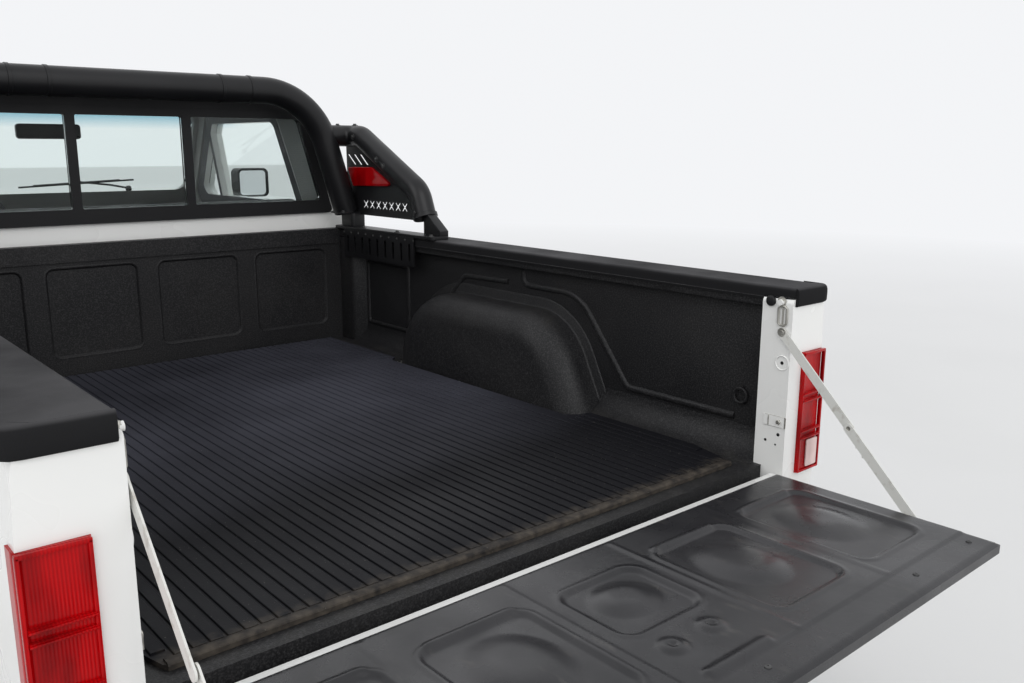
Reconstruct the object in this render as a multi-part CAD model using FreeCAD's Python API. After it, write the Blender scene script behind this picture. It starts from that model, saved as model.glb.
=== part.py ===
import FreeCAD, Part
import math
import os
from FreeCAD import Vector

# A regular-cab pickup truck with a 6.5 ft bed, tailgate down, and a sports bar. Millimetres.
# +Y is forward, +X is the truck's right side, +Z is up and the ground is z = 0.
# "Station" is a length ahead of the inner face of the bed's rear pillars, turned into Y by yy().
# "Height" is measured above the bed floor and turned into Z by zz(), unless a name says ground.

# Whole vehicle
WHEELBASE = 2845.0
FRONT_OVERHANG = 710.0
REAR_AXLE_STATION = 1065.0
BODY_HALF_WIDTH = 890.0
BED_FLOOR_GROUND = 640.0
SHEET = 4.0
FIT = 0.3
RUNNING_GAP = 6.0

# Bed
BED_LENGTH = 1971.0
BED_DEPTH = 440.0
OPENING_HALF_WIDTH = 750.0
WALL_HALF_WIDTH = 800.0
PILLAR_DEPTH = 82.0
PILLAR_TOP = 424.0
RAIL_HEIGHT = 416.0
RAIL_LIP_HALF_WIDTH = 764.0
RAIL_LIP_DEPTH = 22.0
SILL_OVERHANG = 22.0
SILL_DEPTH = 104.0
BED_SKIRT = 205.0
BED_CAB_GAP = 25.0
FRONT_WALL_DEPTH = 42.0
HEAD_PANEL_PITCH = 362.0
HEAD_PANEL_WIDTH = 292.0
HEAD_PANEL_FOOT = 69.0
HEAD_PANEL_TOP = 363.0
HEAD_FLANGE_FOOT = 383.0
PRESSING_DEPTH = 7.0
WHEELHOUSE_HALF_WIDTH = 672.0
WHEELHOUSE_RADIUS = 556.0
WHEELHOUSE_ROUNDING = 85.0
ARCH_RADIUS = 425.0
BEAD_WIDTH = 20.0
BEAD_HEIGHT = 6.0
CORNER_POST_WIDTH = 92.0
CORNER_POST_DEPTH = 44.0
CROSS_SILL_WIDTH = 60.0
CROSS_SILL_HALF_LENGTH = 640.0

# Rail caps and mat
CAP_WALL = 4.0
CAP_OVERLAP = 5.0
CAP_CHAMFER = 34.0
MAT_THICKNESS = 12.0
MAT_REAR_STATION = 18.0
MAT_FRONT_GAP = 22.0
MAT_REAR_HALF_WIDTH = 700.0
MAT_HALF_WIDTH = 762.0
MAT_FLARE_LENGTH = 300.0
MAT_WHEEL_GAP = 14.0

# Tailgate
GATE_HALF_WIDTH = 735.0
GATE_TOP = 435.0
GATE_THICKNESS = 44.0
GATE_EDGE_THICKNESS = 24.0
GATE_TAPER_LENGTH = 62.0
GATE_SINK = 8.0
HINGE_DROP = 60.0
HINGE_TO_EDGE = 15.0
HINGE_PIN_RADIUS = 8.0
HINGE_EYE_RADIUS = 17.0
HINGE_PIN_GAP = 0.6
HINGE_EAR_THICKNESS = 8.0
LINER_THICKNESS = 6.0
LINER_MARGIN = 9.0
LINER_LIP = 18.0
PAN_DEPTH = 4.0
HANDLE_WIDTH = 190.0
HANDLE_HEIGHT = 78.0
HANDLE_DEPTH = 16.0

# Tailgate straps
STRAP_PIVOT_STATION = -59.0
STRAP_PIVOT_HEIGHT = 336.0
STRAP_UPPER_LENGTH = 266.0
STRAP_SLOPE = 45.2
STRAP_WIDTH = 22.0
STRAP_THICKNESS = 3.0
STRAP_PIN_RADIUS = 5.0
STRAP_PIN_GAP = 0.5
STRAP_GATE_PIN_HEIGHT = -30.0

# Rear lamps
LAMP_FOOT = -16.0
LAMP_HEIGHT = 300.0
LAMP_HALF_WIDTH_IN = 800.0
LAMP_DEPTH = 34.0
LAMP_PROUD = 7.0
LAMP_RIB = 4.0

# Sports bar
HOOP_STATION = 1930.0
HOOP_TOP = 1000.0
HOOP_RADIUS = 47.0
HOOP_BEND = 190.0
HOOP_SHOULDER_HALF_WIDTH = 622.0
HOOP_FOOT_HALF_WIDTH = 742.0
BAR_BASE_THICKNESS = 12.0
BAR_BASE_REAR = 1326.0
BAR_BASE_FRONT = 1988.0
BAR_STAND_HEIGHT = 40.0
BAR_STAND_LENGTH = 88.0
BAR_PLATE = 5.0
SAIL_HALF_WIDTH = 800.0
SAIL_TUBE_RADIUS = 40.0
SAIL_TUBE_BEND = 85.0
SAIL_FOOT = 507.0
COMB_SLOTS = 9
COMB_DROP = 103.0
CROSS_CUTS = 7

# Cab
CAB_BACK_STATION = BED_LENGTH + FRONT_WALL_DEPTH + BED_CAB_GAP
CAB_LENGTH = 1460.0
ROOF_GROUND = 1628.0
ROOF_EDGE_GROUND = 1592.0
ROOF_HALF_WIDTH = 672.0
BELT_GROUND = 1140.0
BELT_HALF_WIDTH = 803.0
SHOULDER_GROUND = 1045.0
SHOULDER_HALF_WIDTH = 882.0
ROCKER_GROUND = 430.0
ROCKER_HALF_WIDTH = 850.0
CAB_WALL = 60.0
CAB_BACK_WALL = 34.0
ROOF_WALL = 30.0
CAB_FLOOR_GROUND = 575.0
CAB_FLOOR_THICKNESS = 15.0
WINDSHIELD_BASE = 1440.0
WINDSHIELD_TOP = 920.0
WINDSHIELD_TOP_GROUND = 1570.0
GLASS = 5.0
GLASS_INSET = 8.0

# Doors
DOOR_REAR = 190.0
DOOR_LENGTH = 1090.0
DOOR_FOOT_GROUND = 480.0
DOOR_TOP_GROUND = 1535.0
DOOR_THICKNESS = 54.0
DOOR_UPPER_RELIEF = 12.0
DOOR_PILLAR = 118.0
WINDOW_SILL_GROUND = 1165.0
WINDOW_FRAME = 42.0
VENT_LENGTH = 250.0
DIVIDER = 26.0
DOOR_HINGE_INSET = 9.0
DOOR_HINGE_SETBACK = 4.0
DOOR_HINGE_PIN = 3.5
DOOR_HINGE_EYE = 6.0
DOOR_HINGE_HEIGHT = 40.0
DOOR_HINGE_LEAF = 5.0
DOOR_HINGE_GROUNDS = (700.0, 905.0)
DOOR_FRONT_GAP = 11.0
POST_HALF_WIDTH = 842.0

# Rear window
REAR_FRAME_FOOT_GROUND = 1139.0
REAR_FRAME_TOP_GROUND = 1533.0
REAR_FRAME_FOOT_HALF_WIDTH = 764.0
REAR_FRAME_TOP_HALF_WIDTH = 655.0
REAR_FRAME_FOOT = 50.0
REAR_FRAME_SIDE = 36.0
REAR_FRAME_PROUD = 12.0
REAR_DIVIDER_OFFSET = 193.0
REAR_DIVIDER_WIDTH = 30.0

# Front end
HOOD_HALF_WIDTH = 660.0
HOOD_THICKNESS = 18.0
HOOD_REAR_GROUND = 1122.0
HOOD_FRONT_GROUND = 1012.0
HOOD_CROWN = 22.0
HOOD_REAR_GAP = 20.0
HOOD_HINGE_HALF_WIDTH = 500.0
HOOD_HINGE_PIN = 4.0
HOOD_HINGE_SETBACK = 8.0
HOOD_HINGE_LUG = 6.0
NOSE_ROUNDING = 80.0
NOSE_GROUND = 640.0
NOSE_STATION_GAP = 95.0
FRONT_ARCH_RADIUS = 430.0
APRON_HALF_WIDTH = 505.0
GRILLE_HALF_WIDTH = 470.0
GRILLE_FOOT_GROUND = 720.0
GRILLE_HEIGHT = 215.0
GRILLE_BARS = 6
GRILLE_BAR = 10.0
HEADLAMP_WIDTH = 215.0
HEADLAMP_HEIGHT = 150.0
TURN_LAMP_WIDTH = 105.0
BUMPER_HEIGHT = 150.0
BUMPER_GROUND = 450.0
BUMPER_DEPTH = 62.0
BUMPER_SHEET = 5.0

# Rear bumper
STEP_REAR = 250.0
STEP_FRONT = 112.0
STEP_HALF_WIDTH = 835.0
STEP_TOP = -96.0
STEP_HEIGHT = 140.0
STEP_PLATE_HALF_WIDTH = 170.0
STEP_PLATE_DROP = 44.0
TOW_HOLE_RADIUS = 13.0

# Frame
RAIL_CENTRE = 395.0
RAIL_WIDTH = 66.0
RAIL_DEPTH = 110.0
FRAME_TOP_GROUND = 560.0
FRAME_FRONT_TOP_GROUND = 520.0
CROSS_MEMBER_DEPTH = 70.0
CROSS_MEMBER_WIDTH = 80.0

# Wheels and axles
TYRE_RADIUS = 340.0
TYRE_WIDTH = 190.0
HALF_TRACK = 788.0
RIM_RADIUS = 190.0
RIM_WIDTH = 152.0
RIM_WALL = 5.0
WHEEL_WINDOWS = 8
HUB_RADIUS = 46.0
DRUM_RADIUS = 128.0
SPINDLE_RADIUS = 20.0
SPINDLE_GAP = 0.5
AXLE_TUBE_RADIUS = 38.0
DIFFERENTIAL_RADIUS = 135.0
KINGPIN_HALF_TRACK = 700.0
KNUCKLE_HALF_HEIGHT = 140.0
SPRING_WIDTH = 60.0
SPRING_REACH = 610.0
SPRING_RISE = 20.0
LEAF = 8.0
LEAVES = 3

# Inside and underneath
SEAT_HALF_WIDTH = 690.0
SEAT_TOP_GROUND = 930.0
SEAT_CUSHION = 150.0
SEAT_DEPTH = 500.0
BACKREST_TOP_GROUND = 1330.0
BACKREST_THICKNESS = 130.0
STEERING_SIDE = -365.0
STEERING_WHEEL_RADIUS = 190.0
SHAFT_RADIUS = 34.0
EXHAUST_RADIUS = 25.0
TANK_LENGTH = 620.0

# Values worked out from the sizes above
HINGE_STATION = -(PILLAR_DEPTH + HINGE_DROP - GATE_SINK - GATE_THICKNESS)
GATE_NEAR = HINGE_STATION - HINGE_TO_EDGE
GATE_FAR = HINGE_STATION - HINGE_DROP - GATE_TOP
FRONT_AXLE_STATION = REAR_AXLE_STATION + WHEELBASE
FRONT_STATION = FRONT_AXLE_STATION + FRONT_OVERHANG
Y_ORIGIN = (FRONT_STATION + GATE_FAR) / 2.0
CAB_FRONT_STATION = CAB_BACK_STATION + CAB_LENGTH
NOSE_STATION = FRONT_STATION - NOSE_STATION_GAP
DOOR_REAR_STATION = CAB_BACK_STATION + DOOR_REAR
DOOR_FRONT_STATION = DOOR_REAR_STATION + DOOR_LENGTH
FENDER_REAR_STATION = DOOR_FRONT_STATION + DOOR_FRONT_GAP
STRAP_RISE = STRAP_PIVOT_HEIGHT - STRAP_GATE_PIN_HEIGHT
STRAP_LENGTH = STRAP_RISE / math.sin(math.radians(STRAP_SLOPE))


def yy(station):
    """Y of a station ahead of the rear pillars."""
    return station - Y_ORIGIN


def zz(height):
    """Z of a height above the bed floor."""
    return BED_FLOOR_GROUND + height


def in_plane(a, b, plane, level):
    """A point from two coordinates in the plane yz, xz or xy."""
    if plane == "yz":
        return Vector(level, a, b)
    if plane == "xz":
        return Vector(a, level, b)
    return Vector(a, b, level)


def outline(points, plane, level=0.0):
    """A closed wire through corners (a, b) or (a, b, radius)."""
    corners = [in_plane(p[0], p[1], plane, level) for p in points]
    radii = [p[2] if len(p) > 2 else 0.0 for p in points]
    starts, ends, middles = [], [], []
    for i, corner in enumerate(corners):
        before = (corner - corners[i - 1]).normalize()
        after = (corners[(i + 1) % len(corners)] - corner).normalize()
        half = before.getAngle(after) / 2.0
        cut = radii[i] * math.tan(half)
        starts.append(corner - before * cut)
        ends.append(corner + after * cut)
        bulge = radii[i] / math.cos(half) - radii[i]
        middles.append(corner + (after - before).normalize() * bulge if cut > 0.001 else corner)
    edges = []
    for i in range(len(corners)):
        if (starts[i] - ends[i - 1]).Length > 0.001:
            edges.append(Part.makeLine(ends[i - 1], starts[i]))
        if (ends[i] - starts[i]).Length > 0.001:
            edges.append(Part.Arc(starts[i], middles[i], ends[i]).toShape())
    return Part.Wire(edges)


def plate(points, plane, start, end):
    """A solid with a flat outline, reaching from one level to another."""
    along = in_plane(0.0, 0.0, plane, end - start)
    return Part.Face(outline(points, plane, start)).extrude(along)


def box(x0, x1, y0, y1, z0, z1):
    """A box between six coordinates."""
    return Part.makeBox(x1 - x0, y1 - y0, z1 - z0, Vector(x0, y0, z0))


def rect(a0, a1, b0, b1, radius=0.0):
    """The four corners of a rectangle, rounded."""
    return [(a0, b0, radius), (a1, b0, radius), (a1, b1, radius), (a0, b1, radius)]


def inset(points, distance):
    """The same outline moved inward by a distance, its radii changed to match."""
    count = len(points)
    area = sum(points[i - 1][0] * points[i][1] - points[i][0] * points[i - 1][1] for i in range(count))
    side = math.copysign(1.0, area)
    moved = []
    for i, corner in enumerate(points):
        before, after = points[i - 1], points[(i + 1) % count]
        ax, ay = corner[0] - before[0], corner[1] - before[1]
        bx, by = after[0] - corner[0], after[1] - corner[1]
        a_length, b_length = math.hypot(ax, ay), math.hypot(bx, by)
        ax, ay, bx, by = ax / a_length, ay / a_length, bx / b_length, by / b_length
        share = side * distance / (1.0 + ax * bx + ay * by)
        radius = corner[2] if len(corner) > 2 else 0.0
        if radius > 0.0:
            radius = max(radius - math.copysign(distance, side * (ax * by - ay * bx)), 0.5)
        moved.append((corner[0] - (ay + by) * share, corner[1] + (ax + bx) * share, radius))
    return moved


def both_halves(points):
    """A right-hand outline, bottom to top, closed by its mirror image."""
    return points + [(-p[0],) + tuple(p[1:]) for p in reversed(points) if p[0] > 0.0]


def turned(points, x=0.0, y=0.0, z=0.0):
    """A solid of revolution about an axis along X through (y, z), from corners (x, radius)."""
    face = Part.Face(outline(points, "xz"))
    solid = face.revolve(Vector(0, 0, 0), Vector(1, 0, 0), 360)
    solid.translate(Vector(x, y, z))
    return solid


def cylinder_x(radius, x0, x1, y, z):
    """A cylinder along X."""
    return Part.makeCylinder(radius, x1 - x0, Vector(x0, y, z), Vector(1, 0, 0))


def pipe(points, bend, radius):
    """A round bar along straight runs joined by arcs."""
    edges = []
    start = points[0]
    for before, corner, after in zip(points, points[1:], points[2:]):
        run_in = (corner - before).normalize()
        run_out = (after - corner).normalize()
        half = run_in.getAngle(run_out) / 2.0
        cut = bend * math.tan(half)
        middle = corner + (run_out - run_in).normalize() * (bend / math.cos(half) - bend)
        edges.append(Part.makeLine(start, corner - run_in * cut))
        edges.append(Part.Arc(corner - run_in * cut, middle, corner + run_out * cut).toShape())
        start = corner + run_out * cut
    edges.append(Part.makeLine(start, points[-1]))
    circle = Part.Wire(Part.makeCircle(radius, points[0], points[1] - points[0]))
    return Part.Wire(edges).makePipeShell([circle], True, False)


def mirrored(shape):
    """The same shape on the other side of the truck."""
    return shape.mirror(Vector(0, 0, 0), Vector(1, 0, 0))


def pair(shape):
    """A right-hand shape with its left-hand twin."""
    return Part.makeCompound([shape, mirrored(shape)])


def save(name, shape):
    """Write one node."""
    shape.exportStep("parts/" + name + ".step")
    solids = len(shape.Solids)
    print(name, "solids", solids, "valid", shape.isValid(), "volume", round(shape.Volume))


# Body outlines

def cab_section():
    """Cross-section of the cab, seen from behind."""
    return both_halves([
        (ROCKER_HALF_WIDTH, ROCKER_GROUND, 30.0),
        (BODY_HALF_WIDTH - 4.0, BED_FLOOR_GROUND, 500.0),
        (BODY_HALF_WIDTH, (BED_FLOOR_GROUND + SHOULDER_GROUND) / 2.0, 900.0),
        (SHOULDER_HALF_WIDTH, SHOULDER_GROUND, 70.0),
        (BELT_HALF_WIDTH, BELT_GROUND, 60.0),
        (ROOF_HALF_WIDTH, ROOF_EDGE_GROUND, 90.0),
        (0.0, ROOF_GROUND, 5000.0),
    ])


def cab_side():
    """Side view of the cab."""
    back = yy(CAB_BACK_STATION)
    front = yy(CAB_FRONT_STATION)
    return [
        (back, ROCKER_GROUND, 20.0),
        (front, ROCKER_GROUND, 20.0),
        (front, HOOD_REAR_GROUND, 12.0),
        (back + WINDSHIELD_BASE, BELT_GROUND, 30.0),
        (back + WINDSHIELD_TOP, WINDSHIELD_TOP_GROUND + 8.0, 90.0),
        (back + WINDSHIELD_TOP / 2.0, ROOF_GROUND, 3000.0),
        (back, ROOF_GROUND - 18.0, 60.0),
    ]


def cab_body(wall):
    """The cab as one closed body, its walls moved inward."""
    back, front = yy(CAB_BACK_STATION), yy(CAB_FRONT_STATION)
    across = plate(inset(cab_section(), wall), "xz", back - 5.0, front + 5.0)
    along = plate(inset(cab_side(), wall), "yz", -BODY_HALF_WIDTH - 5.0, BODY_HALF_WIDTH + 5.0)
    return across.common(along)


def cab_core(depth):
    """Everything inside the cab's side walls, down through the underside."""
    back, front = yy(CAB_BACK_STATION) - 5.0, yy(CAB_FRONT_STATION) + 5.0
    core = plate(inset(cab_section(), depth), "xz", back, front)
    half = ROCKER_HALF_WIDTH - depth
    return core.fuse(box(-half, half, back, front, ROCKER_GROUND - 5.0, SHOULDER_GROUND))


def cab_room():
    """The space inside the cab, with its own wall thickness on each side."""
    back, front = yy(CAB_BACK_STATION), yy(CAB_FRONT_STATION)
    across = plate(inset(cab_section(), CAB_WALL), "xz", back + CAB_BACK_WALL, front - CAB_BACK_WALL)
    along = plate(inset(cab_side(), ROOF_WALL), "yz", -BODY_HALF_WIDTH, BODY_HALF_WIDTH)
    above_floor = box(-BODY_HALF_WIDTH, BODY_HALF_WIDTH, back, front, CAB_FLOOR_GROUND, ROOF_GROUND)
    return across.common(along).common(above_floor)


def windshield_run():
    """How far the windshield comes forward for each millimetre that it drops."""
    return (WINDSHIELD_BASE - WINDSHIELD_TOP) / (WINDSHIELD_TOP_GROUND + 8.0 - BELT_GROUND)


def pillar_station(z, setback):
    """Station on a line parallel to the windshield and behind it."""
    return CAB_BACK_STATION + WINDSHIELD_BASE - setback - (z - BELT_GROUND) * windshield_run()


def door_outline(grow):
    """Side view of a door, grown on every side."""
    corner_ground = BELT_GROUND + (CAB_BACK_STATION + WINDSHIELD_BASE - DOOR_PILLAR
                                   - DOOR_FRONT_STATION) / windshield_run()
    points = [
        (yy(DOOR_REAR_STATION), DOOR_FOOT_GROUND, 30.0),
        (yy(DOOR_FRONT_STATION), DOOR_FOOT_GROUND, 45.0),
        (yy(DOOR_FRONT_STATION), corner_ground, 60.0),
        (yy(pillar_station(DOOR_TOP_GROUND, DOOR_PILLAR)), DOOR_TOP_GROUND, 60.0),
        (yy(DOOR_REAR_STATION) + DOOR_UPPER_RELIEF, DOOR_TOP_GROUND, 50.0),
        (yy(DOOR_REAR_STATION), BELT_GROUND, 0.0),
    ]
    return inset(points, -grow)


def window_outline(shrink):
    """Side view of a door's window opening, vent window included."""
    top = DOOR_TOP_GROUND - WINDOW_FRAME
    setback = DOOR_PILLAR + WINDOW_FRAME * math.hypot(1.0, windshield_run())
    points = [
        (yy(DOOR_REAR_STATION) + WINDOW_FRAME + DOOR_UPPER_RELIEF, WINDOW_SILL_GROUND, 20.0),
        (yy(pillar_station(WINDOW_SILL_GROUND, setback)), WINDOW_SILL_GROUND, 30.0),
        (yy(pillar_station(top, setback)), top, 40.0),
        (yy(DOOR_REAR_STATION) + WINDOW_FRAME + DOOR_UPPER_RELIEF, top, 30.0),
    ]
    return inset(points, shrink)


def divider_band(grow):
    """Side view of the bar between a door's main window and its vent window."""
    foot = yy(pillar_station(WINDOW_SILL_GROUND, DOOR_PILLAR + WINDOW_FRAME + VENT_LENGTH))
    lean = 0.35 * (DOOR_TOP_GROUND - WINDOW_SILL_GROUND)
    half = DIVIDER / 2.0 + grow
    return [
        (foot - half, WINDOW_SILL_GROUND),
        (foot + half, WINDOW_SILL_GROUND),
        (foot + half - lean, DOOR_TOP_GROUND),
        (foot - half - lean, DOOR_TOP_GROUND),
    ]


def windshield_outline(shrink):
    """The windshield opening, seen from the front."""
    top = WINDSHIELD_TOP_GROUND - 40.0
    return inset(both_halves([
        (BELT_HALF_WIDTH - 98.0, BELT_GROUND + 42.0, 40.0),
        (ROOF_HALF_WIDTH - 66.0, top, 50.0),
    ]), shrink)


def rear_window_outline(shrink):
    """The rear window's frame, seen from behind."""
    return inset(both_halves([
        (REAR_FRAME_FOOT_HALF_WIDTH, REAR_FRAME_FOOT_GROUND, 16.0),
        (REAR_FRAME_TOP_HALF_WIDTH, REAR_FRAME_TOP_GROUND, 30.0),
    ]), shrink)


# Cab

def make_cab():
    back, front = yy(CAB_BACK_STATION), yy(CAB_FRONT_STATION)
    shell = cab_body(0.0).cut(cab_room())
    tunnel_under = box(-ROCKER_HALF_WIDTH + 140.0, ROCKER_HALF_WIDTH - 140.0, back - 1.0, front + 1.0,
                       ROCKER_GROUND - 1.0, CAB_FLOOR_GROUND - CAB_FLOOR_THICKNESS)
    shell = shell.cut(tunnel_under)
    doorway = plate(door_outline(RUNNING_GAP), "yz", -BODY_HALF_WIDTH - 5.0, BODY_HALF_WIDTH + 5.0)
    shell = shell.cut(doorway)
    shell = shell.cut(plate(windshield_outline(0.0), "xz", back + WINDSHIELD_TOP / 2.0, front + 5.0))
    shell = shell.cut(plate(rear_window_outline(REAR_FRAME_SIDE / 2.0), "xz", back - 5.0, back + CAB_LENGTH / 4.0))
    fender_seat = box(POST_HALF_WIDTH, BODY_HALF_WIDTH + 5.0, yy(DOOR_FRONT_STATION),
                      front + 5.0, ROCKER_GROUND - 5.0, HOOD_REAR_GROUND + 10.0)
    shell = shell.cut(pair(fender_seat))
    hinges = [pair(door_hinge(ground)[0]) for ground in DOOR_HINGE_GROUNDS]
    hinges.append(pair(hood_hinge()[0]))
    riser = box(-SEAT_HALF_WIDTH + 40.0, SEAT_HALF_WIDTH - 40.0, back + CAB_BACK_WALL,
                back + CAB_BACK_WALL + SEAT_DEPTH, CAB_FLOOR_GROUND, SEAT_TOP_GROUND - SEAT_CUSHION)
    return shell.fuse([riser] + hinges).removeSplitter()


def make_glass():
    back, front = yy(CAB_BACK_STATION), yy(CAB_FRONT_STATION)
    outer = plate(inset(cab_side(), GLASS_INSET), "yz", -BODY_HALF_WIDTH, BODY_HALF_WIDTH)
    inner = plate(inset(cab_side(), GLASS_INSET + GLASS), "yz", -BODY_HALF_WIDTH, BODY_HALF_WIDTH)
    windshield = outer.cut(inner).common(
        plate(windshield_outline(FIT), "xz", back + WINDSHIELD_TOP - 60.0, front))
    panes = [windshield]
    for cut in rear_pane_outlines(FIT):
        panes.append(plate(cut, "xz", back, back + GLASS))
    return Part.makeCompound(panes)


def rear_pane_outlines(shrink):
    """The three panes of the rear window."""
    foot = REAR_FRAME_FOOT_GROUND + REAR_FRAME_FOOT
    top = REAR_FRAME_TOP_GROUND - REAR_FRAME_SIDE
    slope = (REAR_FRAME_FOOT_HALF_WIDTH - REAR_FRAME_TOP_HALF_WIDTH) / (REAR_FRAME_TOP_GROUND - REAR_FRAME_FOOT_GROUND)
    foot_side = REAR_FRAME_FOOT_HALF_WIDTH - REAR_FRAME_SIDE - slope * REAR_FRAME_FOOT
    top_side = REAR_FRAME_TOP_HALF_WIDTH - REAR_FRAME_SIDE + slope * REAR_FRAME_SIDE
    half_bar = REAR_DIVIDER_WIDTH / 2.0
    side_pane = [
        (REAR_DIVIDER_OFFSET + half_bar, foot, 6.0),
        (foot_side, foot, 14.0),
        (top_side, top, 22.0),
        (REAR_DIVIDER_OFFSET + half_bar, top, 6.0),
    ]
    middle = REAR_DIVIDER_OFFSET - half_bar
    outlines = [side_pane, rect(-middle, middle, foot, top, 6.0), [(-p[0],) + p[1:] for p in side_pane]]
    return [inset(points, shrink) for points in outlines]


def make_rear_window_frame():
    back = yy(CAB_BACK_STATION)
    frame = plate(rear_window_outline(0.0), "xz", back - REAR_FRAME_PROUD, back - FIT)
    frame = frame.fuse(plate(rear_window_outline(REAR_FRAME_SIDE / 2.0 + FIT), "xz",
                             back - REAR_FRAME_PROUD, back + CAB_BACK_WALL / 2.0))
    for cut in rear_pane_outlines(0.0):
        frame = frame.cut(plate(cut, "xz", back - REAR_FRAME_PROUD - 5.0, back + CAB_BACK_WALL))
    return frame.removeSplitter()


def door_hinge(ground):
    """One right-hand door hinge: the leaves and pin on the cab, the door's eye, and its pocket."""
    x = BODY_HALF_WIDTH - DOOR_HINGE_INSET
    y = yy(DOOR_FRONT_STATION) - DOOR_HINGE_SETBACK
    post = yy(FENDER_REAR_STATION)
    leaf_outline = [
        (x, y - DOOR_HINGE_EYE), (x, y + 3.0), (POST_HALF_WIDTH, y + 3.0), (POST_HALF_WIDTH, post + 14.0),
        (POST_HALF_WIDTH - 12.0, post + 14.0), (POST_HALF_WIDTH - 12.0, y - DOOR_HINGE_EYE),
    ]
    leaves = []
    for level in (ground, ground + DOOR_HINGE_HEIGHT - DOOR_HINGE_LEAF):
        leaves.append(plate(leaf_outline, "xy", level, level + DOOR_HINGE_LEAF))
        leaves.append(Part.makeCylinder(DOOR_HINGE_EYE, DOOR_HINGE_LEAF, Vector(x, y, level)))
    pin = Part.makeCylinder(DOOR_HINGE_PIN, DOOR_HINGE_HEIGHT, Vector(x, y, ground))
    eye_foot = ground + DOOR_HINGE_LEAF + FIT
    eye_height = DOOR_HINGE_HEIGHT - 2.0 * (DOOR_HINGE_LEAF + FIT)
    eye = Part.makeCylinder(DOOR_HINGE_EYE, eye_height, Vector(x, y, eye_foot))
    web = box(x - DOOR_HINGE_EYE, x + DOOR_HINGE_PIN, y - 24.0, y, eye_foot, eye_foot + eye_height)
    bore = Part.makeCylinder(DOOR_HINGE_PIN + FIT, eye_height + 2.0, Vector(x, y, eye_foot - 1.0))
    pocket = box(POST_HALF_WIDTH - 18.0, x + 20.0, y - 20.0, y + 30.0, ground - 5.0, ground + DOOR_HINGE_HEIGHT + 5.0)
    return pin.fuse(leaves), eye.fuse(web).cut(bore), pocket


def hood_hinge():
    """The right-hand hood hinge: the lug and pin on the cowl, and the hood's notch and pin hole."""
    x = HOOD_HINGE_HALF_WIDTH
    wall = yy(CAB_FRONT_STATION)
    y = wall + HOOD_REAR_GAP + HOOD_HINGE_SETBACK
    fall = (HOOD_REAR_GROUND - HOOD_FRONT_GROUND) * (y - yy(FENDER_REAR_STATION)) / (
        NOSE_STATION - FENDER_REAR_STATION)
    side_drop = HOOD_CROWN * x / (SHOULDER_HALF_WIDTH - 60.0)
    z = HOOD_REAR_GROUND - fall - side_drop - HOOD_THICKNESS / 2.0
    lug = box(x, x + HOOD_HINGE_LUG, wall - 2.0, y, z - 6.0, z + 6.0)
    lug = lug.fuse([cylinder_x(6.0, x, x + HOOD_HINGE_LUG, y, z),
                    cylinder_x(HOOD_HINGE_PIN, x, x + 3.0 * HOOD_HINGE_LUG, y, z)])
    notch = box(x - 3.0, x + HOOD_HINGE_LUG + 2.0, wall, y + 9.0, z - 50.0, z + 50.0)
    hole = cylinder_x(HOOD_HINGE_PIN + FIT, x, x + 3.0 * HOOD_HINGE_LUG + 2.0, y, z)
    return lug, notch.fuse(hole)


def make_door():
    """The right-hand door without its glass."""
    reach = BODY_HALF_WIDTH + 5.0
    door = cab_body(0.0).common(plate(door_outline(0.0), "yz", 0.0, reach)).cut(cab_core(DOOR_THICKNESS))
    opening = plate(window_outline(0.0), "yz", 0.0, reach)
    opening = opening.cut(plate(divider_band(0.0), "yz", 0.0, reach))
    door = door.cut(opening)
    pocket = plate(rect(yy(DOOR_REAR_STATION) + 70.0, yy(DOOR_REAR_STATION) + 230.0,
                        SHOULDER_GROUND - 90.0, SHOULDER_GROUND - 30.0, 14.0), "yz",
                   BODY_HALF_WIDTH - 24.0, reach)
    hinges = [door_hinge(ground) for ground in DOOR_HINGE_GROUNDS]
    door = door.cut([pocket] + [hinge[2] for hinge in hinges])
    return door.fuse([hinge[1] for hinge in hinges]).removeSplitter()


def make_door_glass():
    """The panes of the right-hand door."""
    reach = BODY_HALF_WIDTH + 5.0
    depth = DOOR_THICKNESS / 2.0
    leaf = cab_core(depth - GLASS / 2.0).cut(cab_core(depth + GLASS / 2.0))
    leaf = leaf.common(plate(window_outline(FIT), "yz", 0.0, reach))
    return leaf.cut(plate(divider_band(FIT), "yz", 0.0, reach))


def make_mirror():
    """The right-hand door mirror, on the corner of the window opening."""
    base_station = pillar_station(WINDOW_SILL_GROUND, DOOR_PILLAR + 190.0)
    y = yy(base_station)
    z = WINDOW_SILL_GROUND - 10.0
    arm = box(BELT_HALF_WIDTH - 8.0, BELT_HALF_WIDTH + 75.0, y - 25.0, y + 25.0, z - 4.0, z + 26.0)
    head = plate(rect(BELT_HALF_WIDTH + 55.0, BELT_HALF_WIDTH + 215.0, z - 6.0, z + 134.0, 26.0), "xz",
                 y - 40.0, y + 40.0)
    face = plate(rect(BELT_HALF_WIDTH + 64.0, BELT_HALF_WIDTH + 206.0, z + 3.0, z + 125.0, 20.0), "xz",
                 y - 45.0, y - 34.0)
    mirror = arm.fuse(head).cut(face)
    return mirror.cut(cab_body(0.0)).removeSplitter()


# Front end

def front_section():
    """Cross-section of the fenders and hood."""
    return both_halves([
        (ROCKER_HALF_WIDTH, ROCKER_GROUND, 0.0),
        (BODY_HALF_WIDTH - 4.0, BED_FLOOR_GROUND, 500.0),
        (BODY_HALF_WIDTH, (BED_FLOOR_GROUND + SHOULDER_GROUND) / 2.0, 900.0),
        (SHOULDER_HALF_WIDTH, SHOULDER_GROUND, 70.0),
        (SHOULDER_HALF_WIDTH - 60.0, HOOD_REAR_GROUND - HOOD_CROWN, 60.0),
        (0.0, HOOD_REAR_GROUND, 5000.0),
    ])


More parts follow.
